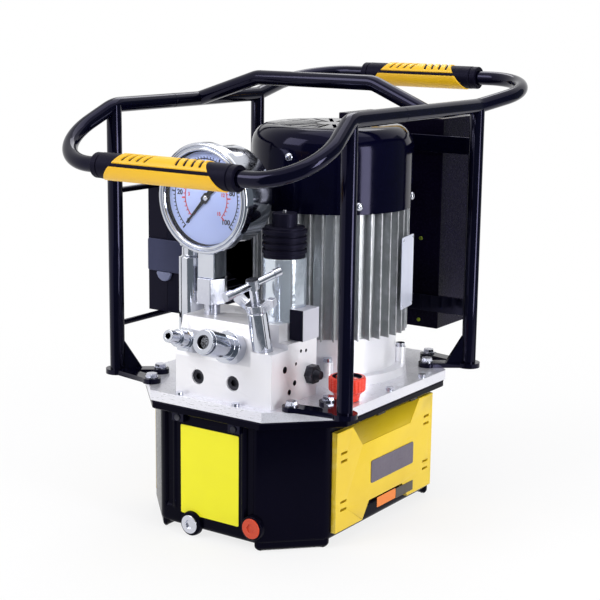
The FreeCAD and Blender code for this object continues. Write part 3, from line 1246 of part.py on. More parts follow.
def build_gauge():
    level = PLATE_TOP + GAUGE_LEVEL
    front = GAUGE_Y - S.gauge_front

    def face_piece(item):
        return put(item, S.gauge_x, front, level, BACKWARD)

    skirt = S.case_radius + S.hole_clearance
    window = S.case_radius - S.bezel_lip
    bezel = turned("bezel", [
        (window, 0), (BEZEL_RADIUS - 3, 0), (BEZEL_RADIUS, 3), (BEZEL_RADIUS, S.bezel_depth),
        (skirt, S.bezel_depth), (skirt, S.lens_sink), (window, S.lens_sink)])
    node(face_piece(bezel), "gauge_bezel")

    lens = turned("lens", [
        (0, S.lens_sink), (S.case_radius, S.lens_sink), (S.case_radius, S.lens_sink + S.lens_thick),
        (0, S.lens_sink + S.lens_thick)])
    node(face_piece(lens), "gauge_lens")

    inner = S.case_radius - S.case_wall
    mouth = S.lens_sink + S.lens_thick
    seat = S.dial_sink + S.dial_thick
    case = turned("gauge_cup", [
        (inner, mouth), (S.case_radius, mouth), (S.case_radius, S.case_depth), (0, S.case_depth),
        (0, S.case_depth - S.case_wall), (inner - 3, S.case_depth - S.case_wall), (inner - 3, seat),
        (inner, seat)])
    face_piece(case)
    nut_top = PLATE_TOP + NUT_TOP
    stem_half = S.stem_square / 2
    stem_top = level - S.case_radius + 1.5
    stem = slab(
        "gauge_stem", S.stem_square, S.stem_square, stem_top - nut_top + 3, S.gauge_x - stem_half,
        GAUGE_Y - stem_half, nut_top)
    bezel_room = cylinder(
        "bezel_room", BEZEL_RADIUS + S.hole_clearance, S.bezel_depth + S.hole_clearance + 1, S.gauge_x,
        front - 1, level, BACKWARD)
    stem = drilled("gauge_stem_cut", stem, [bezel_room])
    thread = cylinder(
        "gauge_thread", S.adapter_thread, S.thread_length, S.gauge_x, GAUGE_Y, nut_top + 1 - S.thread_length)
    room = cylinder(
        "gauge_room", inner - 3, S.case_depth - S.case_wall - seat, S.gauge_x, front + seat, level, BACKWARD)
    mouth_room = cylinder("gauge_mouth", inner, seat, S.gauge_x, front, level, BACKWARD)
    node(drilled("gauge_case", joined("gauge_shell", [case, stem, thread]), [room, mouth_room]), "gauge_case")

    rim = inner - S.running_clearance
    dial = turned("dial", [
        (2.5, S.dial_sink), (rim, S.dial_sink), (rim, seat), (2.5, seat)])
    node(face_piece(dial), "gauge_dial")

    pointer = new_body("pointer")
    half, tail = S.needle_width / 2, S.needle_tail_width / 2
    depth = S.dial_sink - S.needle_gap - S.needle_thick
    outline = [
        (-S.needle_tail, -tail), (-S.needle_hub, -half), (S.needle_length, -0.4), (S.needle_length, 0.4),
        (-S.needle_hub, half), (-S.needle_tail, tail)]
    padded(pointer, "pointer_blade", [outline], S.needle_thick, depth)
    padded(pointer, "pointer_hub", [("circle", 0, 0, S.needle_hub)], S.needle_thick + 0.6, depth)
    put(pointer, 0, 0, 0, (FreeCAD.Vector(0, 0, 1), -S.needle_rest))
    pivot = cylinder("pivot", sized(2), 10, 0, 0, depth)
    node(face_piece(joined("gauge_needle", [pointer, pivot])), "gauge_needle")

    base = PLATE_TOP + S.block_height
    nut = hexagon("nut", S.nut_hex, S.nut_height, S.gauge_x, GAUGE_Y, PLATE_TOP + NUT_BASE)
    bore = cylinder(
        "nut_bore", S.adapter_thread + S.hole_clearance, S.nut_height, S.gauge_x, GAUGE_Y,
        PLATE_TOP + NUT_BASE)
    node(drilled("gauge_swivel_nut", nut, [bore]), "gauge_swivel_nut")

    adapter = turned("adapter", [
        (2, 0), (S.adapter_radius, 0), (S.adapter_radius, S.adapter_height + S.adapter_sink),
        (S.adapter_thread, S.adapter_height + S.adapter_sink),
        (S.adapter_thread, S.adapter_height + S.adapter_sink + S.thread_length),
        (2, S.adapter_height + S.adapter_sink + S.thread_length)])
    node(put(adapter, S.gauge_x, GAUGE_Y, base - S.adapter_sink), "gauge_adapter")


# ---------------------------------------------------------------- solenoid valve, filter, filler

def build_solenoid():
    x, y = S.solenoid_x, SOLENOID_Y
    base = PLATE_TOP + S.block_height
    tube = S.coil_bore - S.hole_clearance
    coil = turned("coil", [
        (S.coil_bore, 0), (S.coil_radius, 0), (S.coil_radius, S.coil_height), (S.coil_bore, S.coil_height)])
    node(put(coil, x, y, base), "solenoid_coil")

    bottom = -S.plunger_foot + 1
    low = S.coil_height
    ribs = []
    rib_base = low + S.cap_gap
    pitch = S.ribbed_height / 4
    for index in range(4):
        level = rib_base + pitch * index
        ribs += [
            (S.coil_radius, level), (S.coil_radius, level + pitch * 0.6),
            (S.coil_radius - S.rib_depth, level + pitch * 0.6), (S.coil_radius - S.rib_depth, level + pitch)]
    crown = rib_base + S.ribbed_height
    top = crown + S.top_nut_height
    bore = S.plunger_radius + S.running_clearance
    pin = S.override_radius + S.running_clearance
    ceiling = S.plunger_height + 1
    cap = turned("valve_cap", (
        [(bore, bottom), (tube, bottom), (tube, low), (S.coil_radius - 1.5, low)]
        + [(S.coil_radius - 1.5, rib_base)]
        + ribs
        + [(S.top_nut_radius, crown), (S.top_nut_radius, top), (pin, top), (pin, ceiling), (bore, ceiling)]))
    node(put(cap, x, y, base), "solenoid_cap")

    plunger = turned("plunger", [
        (0, 0), (S.plunger_radius, 0), (S.plunger_radius, S.plunger_height),
        (S.override_radius, S.plunger_height), (S.override_radius, top + S.override_stand),
        (0, top + S.override_stand)])
    node(put(plunger, x, y, base), "valve_armature")

    box = slab(
        "connector", S.connector_width, S.connector_depth, S.connector_height, S.connector_x,
        BLOCK_FRONT + S.connector_back, PLATE_TOP + S.side_step_height + S.connector_base)
    recess = cylinder("connector_recess", S.coil_radius + S.running_clearance, S.coil_height, x, y, base - 17)
    node(drilled("solenoid_connector", box, [recess]), "solenoid_connector")


def build_filter():
    top = S.filter_height
    neck_top = top + S.filter_neck_height
    profile = [
        (0, -S.filter_drop), (S.port_spigot_radius, -S.filter_drop), (S.port_spigot_radius, 0),
        (S.filter_radius, 0), (S.filter_radius, top), (S.filter_neck_radius, top + 2),
        (S.filter_neck_radius, neck_top), (S.filter_radius - 1, neck_top + 1),
        (S.filter_radius - 1, neck_top + S.filter_cap_height), (0, neck_top + S.filter_cap_height)]
    node(put(turned("filter", profile), FILTER_X, FILTER_Y, PLATE_TOP), "return_filter")


def build_filler():
    neck = turned("neck", [
        (S.filler_bore, 0), (S.filler_neck_radius, 0), (S.filler_neck_radius, S.filler_neck_height),
        (S.filler_bore, S.filler_neck_height)])
    node(put(neck, FILLER_X, FILLER_Y, PLATE_TOP), "filler_neck")
    plug = S.filler_bore - S.running_clearance
    cap = turned("cap", [
        (0, -S.cap_plug), (plug, -S.cap_plug), (plug, 0.1), (S.cap_low_radius, 0.1),
        (S.cap_high_radius, S.cap_height - 3), (S.cap_high_radius, S.cap_height), (0, S.cap_height)])
    node(put(cap, FILLER_X, FILLER_Y, PLATE_TOP + S.filler_neck_height), "filler_cap")


# ---------------------------------------------------------------- control box, bars, oil cooler

def build_control_box():
    front = BOX_FRONT
    width = S.box_right - S.box_left
    base = PLATE_TOP + S.box_base
    wall = S.box_wall
    shell = slab("box_shell", width, S.box_depth, S.box_height, S.box_left, front, base)
    room = slab(
        "box_room", width - 2 * wall, S.box_depth, S.box_height - 2 * wall, S.box_left + wall, front + wall,
        base + wall)
    gland_x = (S.box_left + S.box_right) / 2
    gland_y = front + S.box_depth / 2
    hole = cylinder("gland_hole", S.gland_radius - 2 + S.hole_clearance, wall, gland_x, gland_y, base)
    node(drilled("control_box", shell, [room, hole]), "control_box")
    lid = slab("control_box_cover", width, S.lid_thick, S.box_height, S.box_left, front + S.box_depth, base)
    node(lid, "control_box_cover")
    body = hexagon(
        "gland_body", S.gland_hex, S.gland_hex_height, gland_x, gland_y, base, DOWNWARD)
    dome = cone(
        "gland_dome", S.gland_radius, S.gland_radius - 3, S.gland_length - S.gland_hex_height, gland_x,
        gland_y, base - S.gland_hex_height, DOWNWARD)
    stub = cylinder("gland_stub", S.gland_radius - 2, wall + 5, gland_x, gland_y, base - 1)
    node(joined("cable_gland", [body, dome, stub]), "cable_gland")


def build_bars():
    items = []
    y = POST_Y + S.tube_radius
    for name, level in (("low_bar", S.bar_low), ("high_bar", S.bar_high)):
        items.append(slab(
            name, POST_X * 2, S.bar_thick, S.bar_width, -POST_X, y, PLATE_TOP + level - S.bar_width / 2))
    length = (POST_Y - S.tube_radius) * 2
    for name, level in (("low_rod", S.cooler_base - S.rod_radius),
                        ("high_rod", S.cooler_base + S.cooler_height + S.rod_radius)):
        items.append(cylinder(
            name, S.rod_radius, length, -POST_X, -length / 2, PLATE_TOP + level, BACKWARD))
    node(bunch("accessory_bars", items), "accessory_bars")


def build_cooler():
    base = PLATE_TOP + S.cooler_base
    low_y = S.cooler_middle_y - S.cooler_half
    outer_x = -POST_X - S.fan_frame_depth / 2
    middle_z = base + S.cooler_height / 2
    depth = S.fan_frame_depth
    length = S.cooler_half * 2
    frame = slab("fan_frame", depth, length, S.cooler_height, outer_x, low_y, base)
    bore = cylinder("fan_frame_bore", S.fan_bore, depth, outer_x, S.cooler_middle_y, middle_z, RIGHTWARD)
    hub = cylinder(
        "spider_hub", S.spider_radius, S.spider_thick, outer_x, S.cooler_middle_y, middle_z, RIGHTWARD)
    reach = (S.fan_bore + 1) * 2
    arms = [
        slab("spider_arm_a", S.spider_thick, reach, S.spider_arm, outer_x, S.cooler_middle_y - reach / 2,
             middle_z - S.spider_arm / 2),
        slab("spider_arm_b", S.spider_thick, S.spider_arm, reach, outer_x,
             S.cooler_middle_y - S.spider_arm / 2, middle_z - reach / 2),
    ]
    ring = drilled("fan_ring", frame, [bore])
    pin = cylinder(
        "fan_pin", S.pin_radius, S.spider_thick + S.pin_length, outer_x, S.cooler_middle_y, middle_z,
        RIGHTWARD)
    node(joined("cooler_fan_frame", [ring, hub, pin] + arms), "cooler_fan_frame")

    rotor = new_body("cooler_rotor")
    bore = ("circle", 0, 0, S.pin_radius + S.running_clearance)
    padded(rotor, "cooler_hub", [("circle", 0, 0, S.rotor_hub), bore], S.rotor_depth)
    blade = padded(
        rotor, "cooler_blade",
        [[(S.rotor_hub - 1, -2), (S.blade_tip, -12), (S.blade_tip, -9), (S.rotor_hub - 1, 2)]],
        S.rotor_depth - 4, sized(2))
    around(rotor, "cooler_blades", blade, S.blade_count)
    put(rotor, outer_x + S.spider_thick + S.hole_clearance, S.cooler_middle_y, middle_z, RIGHTWARD)
    node(rotor, "cooler_fan_rotor")

    core_x = outer_x + depth
    block = slab("core_block", S.core_depth, length, S.cooler_height, core_x, low_y, base)
    gap = S.core_fin_pitch - S.core_fin_thick
    first = slab(
        "core_gap", S.core_depth, length - S.core_tank * 2, gap, core_x, low_y + S.core_tank,
        base + S.core_wall)
    gaps = [first]
    for index in range(1, 15):
        gaps.append(slab(
            "core_gap_%d" % index, S.core_depth, length - S.core_tank * 2, gap, core_x, low_y + S.core_tank,
            base + S.core_wall + S.core_fin_pitch * index))
    tube = slab(
        "core_tube", S.core_depth / 2, S.spider_arm, S.cooler_height, core_x + S.core_depth / 4,
        S.cooler_middle_y - S.spider_arm / 2, base)
    node(joined("cooler_core", [drilled("core_fins", block, gaps), tube]), "cooler_core")


# ---------------------------------------------------------------- build, check, export

def build_all():
    build_tank()
    build_clamps()
    build_cover()
    build_side_panel("left_side_panel", -1, LEFT_FACE)
    build_side_panel("right_side_panel", 1, RIGHTWARD)
    build_tank_plugs()
    front_rail, rear_rail = build_loops()
    build_leg("frame_leg_front_left", -1, -1, front_rail)
    build_leg("frame_leg_front_right", 1, -1, front_rail)
    build_leg("frame_leg_rear_left", -1, 1, rear_rail)
    build_leg("frame_leg_rear_right", 1, 1, rear_rail)
    build_grips()
    build_fasteners()
    build_motor()
    build_pump()
    build_block()
    build_port_plugs()
    build_couplers()
    build_relief_valve()
    build_gauge()
    build_solenoid()
    build_filter()
    build_filler()
    build_control_box()
    build_bars()
    build_cooler()


def check_and_export():
    """Stop on any broken object, then write one STEP file for each sub-part."""
    DOC.recompute()
    for item in DOC.Objects:
        if "Invalid" in item.State or "Error" in item.State:
            raise RuntimeError("%s did not compute: %s" % (item.Name, item.State))
    os.makedirs("parts", exist_ok=True)
    for item in NODES:
        shape = item.Shape
        if shape.isNull() or not shape.isValid() or not shape.Solids:
            raise RuntimeError(item.Label + " has no valid solid")
        print("%-24s solids %2d  volume %10.1f" % (item.Label, len(shape.Solids), shape.Volume))
        shape.exportStep("parts/%s.step" % item.Label)


build_all()
check_and_export()
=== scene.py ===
"""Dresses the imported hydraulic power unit: oil tank, cover plate, motor, valve block, gauge, frame.

Each sub-assembly is a class that holds its sizes and builds its own pieces. Pieces that keep the
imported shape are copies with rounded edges, and the detail over them is made as numpy surfaces.
"""

import json
import logging
import math
from collections.abc import Callable
from dataclasses import dataclass
from enum import Enum

import bmesh
import bpy
import numpy as np
from mathutils import Matrix, Vector
from mathutils.bvhtree import BVHTree


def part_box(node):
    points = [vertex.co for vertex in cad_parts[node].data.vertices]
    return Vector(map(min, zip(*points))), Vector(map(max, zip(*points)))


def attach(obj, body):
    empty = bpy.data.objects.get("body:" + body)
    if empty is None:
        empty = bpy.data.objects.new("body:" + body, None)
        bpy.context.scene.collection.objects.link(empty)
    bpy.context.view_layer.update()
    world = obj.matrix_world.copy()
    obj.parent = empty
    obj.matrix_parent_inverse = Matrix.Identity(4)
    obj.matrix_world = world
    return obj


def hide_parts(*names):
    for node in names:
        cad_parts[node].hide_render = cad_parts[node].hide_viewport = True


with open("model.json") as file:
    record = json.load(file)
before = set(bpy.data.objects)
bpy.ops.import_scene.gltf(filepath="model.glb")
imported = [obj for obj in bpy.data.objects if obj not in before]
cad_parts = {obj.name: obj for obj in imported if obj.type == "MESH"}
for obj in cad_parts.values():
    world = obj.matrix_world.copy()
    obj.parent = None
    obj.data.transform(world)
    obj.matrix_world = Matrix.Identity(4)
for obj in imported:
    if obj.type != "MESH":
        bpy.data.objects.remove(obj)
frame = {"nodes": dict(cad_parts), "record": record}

LOG = logging.getLogger("power_unit")
RECORD = frame["record"]
BODY_OF = {node: body for body, members in RECORD["behaviour"]["bodies"].items() for node in members}
SLOT_OF = {part["node"]: part["material_slot"] for part in RECORD["subparts"]}
# How much less a cut corner is cut back for each metre that its outline moves inwards.
CORNER_SHRINK = 0.586
# Extra points along the tank's front and back, where the channels are pressed.
LONG_SIDE_POINTS = 150
# The four corners of a rectangle, counterclockwise.
CORNER_SIGNS = ((1, 1), (-1, 1), (-1, -1), (1, -1))
Socket = bpy.types.NodeSocket


class Axis(Enum):
    """Directions in the frame, for turned pieces and flat plates."""

    RIGHT = (1.0, 0.0, 0.0)
    FORWARD = (0.0, -1.0, 0.0)
    UP = (0.0, 0.0, 1.0)


class Texture(Enum):
    """The kinds of surface grain that a finish can have."""

    PAINT = "orange_peel"
    MOULDED = "moulded_grain"
    MACHINED = "machining_marks"
    CAST = "cast_skin"
    SMOOTH = "smooth"


def tint(red: int, green: int, blue: int) -> tuple[float, float, float]:
    """Turn a display colour of 0 to 255 into the linear colour that shaders use.

    Args:
        red: Red, 0 to 255.
        green: Green, 0 to 255.
        blue: Blue, 0 to 255.

    Returns:
        The linear colour.
    """
    share = np.array([red, green, blue]) / 255.0
    linear = np.where(share <= 0.04045, share / 12.92, ((share + 0.055) / 1.055) ** 2.4)
    return tuple(float(value) for value in linear)


# ---------------------------------------------------------------- shared shader effects


def effect_group(name: str, inputs: dict[str, tuple], outputs: list[str]) -> tuple:
    """Start a shader node group with named sockets.

    Args:
        name: The group's name.
        inputs: Socket name to (socket type, default value).
        outputs: Names of the outputs, all plain values.

    Returns:
        The group, the sockets that bring its inputs, those that take its outputs, and the place.
    """
    group = bpy.data.node_groups.new(name, "ShaderNodeTree")
    for title, (kind, value) in inputs.items():
        socket = group.interface.new_socket(title, in_out="INPUT", socket_type=kind)
        socket.default_value = value
    for title in outputs:
        group.interface.new_socket(title, in_out="OUTPUT", socket_type="NodeSocketFloat")
    entry, leave = group.nodes.new("NodeGroupInput"), group.nodes.new("NodeGroupOutput")
    place = wired(group, "ShaderNodeTexCoord").outputs["Object"]
    return group, entry.outputs, leave.inputs, place


def wired(tree: bpy.types.NodeTree, kind: str, settings: dict | None = None, **links) -> bpy.types.Node:
    """Add a node, set its properties and fill its inputs.

    Args:
        tree: The node tree to add to.
        kind: The node's type name.
        settings: Properties to set on the node.
        **links: Input name or in0, in1 ... to a socket to link from or a plain value.

    Returns:
        The new node.
    """
    node = tree.nodes.new(kind)
    for key, value in (settings or {}).items():
        setattr(node, key, value)
    for key, value in links.items():
        number = key[2:]
        socket = node.inputs[int(number)] if key.startswith("in") and number.isdigit() else node.inputs[key]
        if isinstance(value, Socket):
            tree.links.new(value, socket)
        else:
            socket.default_value = value
    return node


def ranged(
    tree: bpy.types.NodeTree, value: Socket, low: float | Socket, high: float | Socket,
    start: float = 0.0, end: float = 1.0,
) -> Socket:
    """Map a value from one range to another, and clip it.

    Args:
        tree: The node tree.
        value: The value's socket.
        low: Lowest value, or a socket.
        high: Highest value, or a socket.
        start: What the lowest becomes.
        end: What the highest becomes.

    Returns:
        The mapped value's socket.
    """
    return wired(tree, "ShaderNodeMapRange", None, **{
        "Value": value, "From Min": low, "From Max": high, "To Min": start, "To Max": end}).outputs["Result"]


def noise(
    tree: bpy.types.NodeTree, place: Socket, scale: float | Socket, detail: float, roughness: float = 0.5,
) -> Socket:
    """Add noise.

    Args:
        tree: The node tree.
        place: The place's socket.
        scale: Its scale, or a socket.
        detail: Its octaves.
        roughness: How much each octave adds.

    Returns:
        The noise's socket.
    """
    return wired(
        tree, "ShaderNodeTexNoise", None,
        Vector=place, Scale=scale, Detail=detail, Roughness=roughness).outputs["Fac"]


def maths(
    tree: bpy.types.NodeTree, operation: str, first: Socket, second: float | Socket, **settings: bool,
) -> Socket:
    """Add a math node on two values, and return its result's socket."""
    node = wired(tree, "ShaderNodeMath", {"operation": operation, **settings}, in0=first, in1=second)
    return node.outputs[0]


def stretched(tree: bpy.types.NodeTree, place: Socket, stretch: tuple | Socket) -> Socket:
    """Multiply a place by a vector or a socket, and return the product's socket."""
    return wired(tree, "ShaderNodeVectorMath", {"operation": "MULTIPLY"}, in0=place, in1=stretch).outputs[0]


class Effects:
    """The shader groups that several finishes share, each built once."""

    def __init__(self) -> None:
        """Build the four groups."""
        self.grain = self.build_grain()
        self.wear = self.build_wear()
        self.dust = self.build_dust()
        self.scuffs = self.build_scuffs()

    def build_grain(self) -> bpy.types.NodeTree:
        """Fine noise, stretched along an axis, with a slower noise for tone."""
        group, entry, leave, place = effect_group(
            "surface_grain",
            {
                "Scale": ("NodeSocketFloat", 400.0),
                "Stretch": ("NodeSocketVector", (1.0, 1.0, 1.0)),
                "Tone Scale": ("NodeSocketFloat", 14.0),
            },
            ["Height", "Tone"],
        )
        fine = noise(group, stretched(group, place, entry["Stretch"]), entry["Scale"], 4.0, 0.55)
        slow = noise(group, place, entry["Tone Scale"], 3.0)
        group.links.new(fine, leave["Height"])
        group.links.new(ranged(group, slow, 0.3, 0.7), leave["Tone"])
        return group

    def build_wear(self) -> bpy.types.NodeTree:
        """Convex edges, broken up by noise, as a mask."""
        group, entry, leave, place = effect_group(
            "edge_wear",
            {"Start": ("NodeSocketFloat", 0.53), "Scale": ("NodeSocketFloat", 90.0)},
            ["Mask"],
        )
        curve = wired(group, "ShaderNodeNewGeometry").outputs["Pointiness"]
        edge = ranged(group, curve, entry["Start"], maths(group, "ADD", entry["Start"], 0.06))
        broken = ranged(group, noise(group, place, entry["Scale"], 5.0), 0.45, 0.65)
        group.links.new(maths(group, "MULTIPLY", edge, broken), leave["Mask"])
        return group

    def build_dust(self) -> bpy.types.NodeTree:
        """Faces that look up, times a slow noise, as a mask."""
        group, entry, leave, place = effect_group(
            "settled_dust", {"Scale": ("NodeSocketFloat", 22.0)}, ["Mask"])
        facing = wired(group, "ShaderNodeNewGeometry").outputs["Normal"]
        height = wired(group, "ShaderNodeSeparateXYZ", None, Vector=facing).outputs["Z"]
        cloud = noise(group, place, entry["Scale"], 6.0)
        group.links.new(maths(group, "MULTIPLY", ranged(group, height, 0.55, 1.0), cloud), leave["Mask"])
        return group

    def build_scuffs(self) -> bpy.types.NodeTree:
        """Sparse fine scratches in two directions, as a mask."""
        group, entry, leave, place = effect_group(
            "fine_scuffs", {"Scale": ("NodeSocketFloat", 60.0)}, ["Mask"])
        masks = [
            ranged(group, noise(group, stretched(group, place, stretch), entry["Scale"], 2.0), 0.66, 0.72)
            for stretch in ((0.6, 9.0, 7.0), (8.0, 0.8, 5.0))]
        group.links.new(maths(group, "MAXIMUM", *masks), leave["Mask"])
        return group


EFFECTS = Effects()
DUST_COLOUR = (0.42, 0.41, 0.4, 1.0)


# ---------------------------------------------------------------- finishes


@dataclass(frozen=True)
class Finish:
    """One surface finish: colours, gloss and the scale of its grain.

    Scales count grains per metre, and relief is the height of the grain in metres.
    """

    name: str
    slot: str
    colour: tuple[float, float, float]
    shade: tuple[float, float, float]
    texture: Texture = Texture.PAINT
    metallic: float = 0.0
    smooth: float = 0.25
    rough: float = 0.4
    scale: float = 400.0
    stretch: tuple[float, float, float] = (1.0, 1.0, 1.0)
    relief: float = 0.00005
    specular: float = 0.5
    gloss_tint: tuple[float, float, float] = (1.0, 1.0, 1.0)
    worn: tuple[float, float, float] = (0.3, 0.3, 0.32)
    wear: float = 0.0
    dust: float = 0.0
    scuff: float = 0.0

    def material(self) -> bpy.types.Material:
        """Return the finish's material, built on first use."""
        return bpy.data.materials.get(self.name) or self.build()

    def build(self) -> bpy.types.Material:
        """Wire the material: tone, wear and dust colour it, and the grain sets gloss and relief.

        Returns:
            The new material.
        """
        made = bpy.data.materials.new(self.name)
        made.use_nodes = True
        made.diffuse_color = (*self.colour, 1.0)
        tree = made.node_tree
        shader = tree.nodes["Principled BSDF"].inputs
        shader["Metallic"].default_value = self.metallic
        shader["Specular IOR Level"].default_value = self.specular
        shader["Specular Tint"].default_value = (*self.gloss_tint, 1.0)
        grain = self.effect(tree, EFFECTS.grain, Scale=self.scale, Stretch=self.stretch)
        colour = self.mixed(tree, grain["Tone"], 1.0, (*self.colour, 1.0), (*self.shade, 1.0))
        if self.wear:
            worn = self.effect(tree, EFFECTS.wear)
            colour = self.mixed(tree, worn["Mask"], self.wear, colour, (*self.worn, 1.0))
        if self.dust:
            dust = self.effect(tree, EFFECTS.dust)
            colour = self.mixed(tree, dust["Mask"], self.dust, colour, DUST_COLOUR)
        tree.links.new(colour, shader["Base Color"])
        gloss = ranged(tree, grain["Height"], 0.3, 0.7, self.smooth, self.rough)
        if self.scuff:
            scuffs = self.effect(tree, EFFECTS.scuffs)
            gloss = wired(
                tree, "ShaderNodeMath", {"operation": "MULTIPLY_ADD", "use_clamp": True},
                in0=scuffs["Mask"], in1=self.scuff, in2=gloss).outputs[0]
        tree.links.new(gloss, shader["Roughness"])
        if self.texture is not Texture.SMOOTH:
            bump = wired(
                tree, "ShaderNodeBump", None, Strength=1.0, Distance=self.relief, Height=grain["Height"])
            tree.links.new(bump.outputs["Normal"], shader["Normal"])
        return made

    @staticmethod
    def effect(
        tree: bpy.types.NodeTree, group: bpy.types.NodeTree, **inputs: float | tuple,
    ) -> bpy.types.bpy_prop_collection:
        """Add one of the shared groups to a tree, and return its outputs."""
        return wired(tree, "ShaderNodeGroup", {"node_tree": group}, **inputs).outputs

    @staticmethod
    def mixed(
        tree: bpy.types.NodeTree, mask: Socket, share: float, low: tuple | Socket, high: tuple,
    ) -> Socket:
        """Mix two colours by a mask.

        Args:
            tree: The material's tree.
            mask: The mask socket.
            share: The most of the second colour that shows.
            low: The first colour, or a socket.
            high: The second colour.

        Returns:
            The mixed colour's socket.
        """
        factor = maths(tree, "MULTIPLY", mask, share, use_clamp=True)
        mix = wired(tree, "ShaderNodeMix", {"data_type": "RGBA"}, in0=factor, in6=low, in7=high)
        return mix.outputs[2]


@dataclass(frozen=True)
class ClearFinish(Finish):
    """Clear glass, which lets light through to what lies behind it."""

    def build(self) -> bpy.types.Material:
        """Wire glass whose shadow is clear.

        Returns:
            The new material.
        """
        made = super().build()
        tree = made.node_tree
        shader = tree.nodes["Principled BSDF"]
        shader.inputs["Transmission Weight"].default_value = 1.0
        shader.inputs["IOR"].default_value = 1.3
        clear = wired(tree, "ShaderNodeBsdfTransparent")
        path = wired(tree, "ShaderNodeLightPath")
        mix = wired(
            tree, "ShaderNodeMixShader", None,
            in0=path.outputs["Is Shadow Ray"], in1=shader.outputs[0], in2=clear.outputs[0])
        tree.links.new(mix.outputs[0], tree.nodes["Material Output"].inputs["Surface"])
        return made


LILAC = (0.62, 0.6, 1.0)

TANK_PAINT = Finish(
    "tank_paint", "tank_black", tint(3, 3, 12), tint(5, 4, 16), smooth=0.16, rough=0.26, scale=260,
    relief=0.00001, specular=0.06, gloss_tint=LILAC, dust=0.005, scuff=0.06)
FRAME_PAINT = Finish(
    "frame_powder_coat", "frame_black", tint(3, 3, 14), tint(5, 5, 22), smooth=0.06, rough=0.12,
    scale=600, relief=0.00001, specular=0.24, gloss_tint=LILAC, scuff=0.04)
RUBBER = Finish(
    "black_rubber", "rubber_black", tint(10, 9, 22), tint(14, 12, 28), Texture.MOULDED, smooth=0.4,
    rough=0.62, scale=900, relief=0.00006, specular=0.1, gloss_tint=LILAC, dust=0.02)
PANEL_YELLOW = Finish(
    "panel_moulding", "panel_yellow", tint(228, 197, 40), tint(216, 183, 30), Texture.MOULDED,
    smooth=0.3, rough=0.42, scale=1400, relief=0.00003, wear=0.3, worn=tint(250, 236, 150), scuff=0.2)
GRIP_YELLOW = Finish(
    "grip_moulding", "grip_yellow", tint(246, 196, 24), tint(238, 182, 18), Texture.MOULDED, smooth=0.3,
    rough=0.45, scale=1600, relief=0.00005, wear=0.25, worn=tint(255, 226, 120))
PLATE_METAL = Finish(
    "milled_aluminium", "plate_aluminium", tint(238, 238, 244), tint(222, 222, 232), Texture.MACHINED,
    metallic=0.6, smooth=0.24, rough=0.42, scale=260, stretch=(0.5, 9.0, 9.0), relief=0.00001, scuff=0.12)
BLOCK_METAL = Finish(
    "valve_block_aluminium", "plate_aluminium", tint(243, 242, 246), tint(228, 228, 236), Texture.MACHINED,
    metallic=0.35, smooth=0.3, rough=0.45, scale=300, stretch=(6.0, 6.0, 0.6), relief=0.00001, scuff=0.08)
MOTOR_METAL = Finish(
    "cast_motor_aluminium", "motor_aluminium", tint(192, 194, 198), tint(168, 172, 174), Texture.CAST,
    metallic=0.85, smooth=0.32, rough=0.52, scale=700, relief=0.00008, wear=0.5, worn=tint(232, 232, 240),
    dust=0.05)
BELL_METAL = Finish(
    "turned_motor_end", "motor_aluminium", tint(238, 238, 242), tint(222, 222, 230), Texture.MACHINED,
    metallic=0.45, smooth=0.28, rough=0.42, scale=420, stretch=(1.0, 1.0, 9.0), relief=0.00001, scuff=0.1)
BRIGHT_STEEL = Finish(
    "zinc_plated_steel", "bright_steel", tint(214, 216, 226), tint(186, 188, 204), Texture.MACHINED,
    metallic=1.0, smooth=0.16, rough=0.26, scale=1200, relief=0.000002, scuff=0.08)
# Blackened steel for real black parts, also used as painted shade inside the block's holes and the coupler's
# bore.
BLACK_STEEL_AND_SHADE = Finish(
    "blackened_steel", "black_steel", tint(24, 24, 34), tint(38, 38, 48), metallic=0.6, smooth=0.3,
    rough=0.5, scale=700, relief=0.00003, wear=0.5, worn=tint(150, 150, 165))
CORE_STEEL = Finish(
    "machined_core_steel", "core_steel", tint(160, 160, 166), tint(130, 130, 138), Texture.MACHINED,
    metallic=1.0, smooth=0.25, rough=0.45, scale=500, stretch=(1.0, 1.0, 8.0), relief=0.00002)
CHROME = Finish(
    "chrome_plating", "polished_chrome", tint(210, 213, 222), tint(186, 190, 202), Texture.SMOOTH,
    metallic=1.0, smooth=0.06, rough=0.16, scale=160, scuff=0.08)
COIL_PLATING = Finish(
    "coil_plating", "bright_steel", tint(222, 230, 240), tint(202, 211, 223), Texture.SMOOTH,
    metallic=0.74, smooth=0.1, rough=0.2, scale=200, scuff=0.06)
PUMP_IRON = Finish(
    "pump_casting", "pump_iron", tint(92, 92, 96), tint(70, 70, 76), Texture.CAST, metallic=0.5,
    smooth=0.45, rough=0.7, scale=500, relief=0.0002)
PLUG_ORANGE = Finish(
    "level_plug_moulding", "plug_orange", tint(214, 70, 32), tint(196, 58, 26), Texture.MOULDED,
    smooth=0.3, rough=0.42, scale=1200, relief=0.00003)
CAP_RED = Finish(
    "filler_cap_moulding", "cap_red", tint(238, 66, 38), tint(214, 44, 28), Texture.MOULDED,
    smooth=0.22, rough=0.36, scale=1200, relief=0.00003, wear=0.25, worn=tint(255, 150, 120))
COWL_PAINT = Finish(
    "cowl_gloss_paint", "cowl_black", tint(3, 3, 14), tint(5, 5, 26), smooth=0.08, rough=0.14, scale=60,
    relief=0.00002, specular=0.14, gloss_tint=LILAC, scuff=0.03)
# Black moulding for real black plastic parts, also used as painted shade on the solenoid connector's forward
# faces.
BLACK_PLASTIC_AND_SHADE = Finish(
    "black_moulding_and_painted_shade", "plastic_black", tint(13, 12, 24), tint(17, 16, 30), Texture.MOULDED, smooth=0.35,
    rough=0.55, scale=1100, relief=0.00006, specular=0.12, gloss_tint=LILAC)
CONNECTOR_GREY = Finish(
    "connector_moulding", "connector_grey", tint(196, 196, 206), tint(176, 176, 190), Texture.MOULDED,
    smooth=0.3, rough=0.5, scale=1100, relief=0.00006)
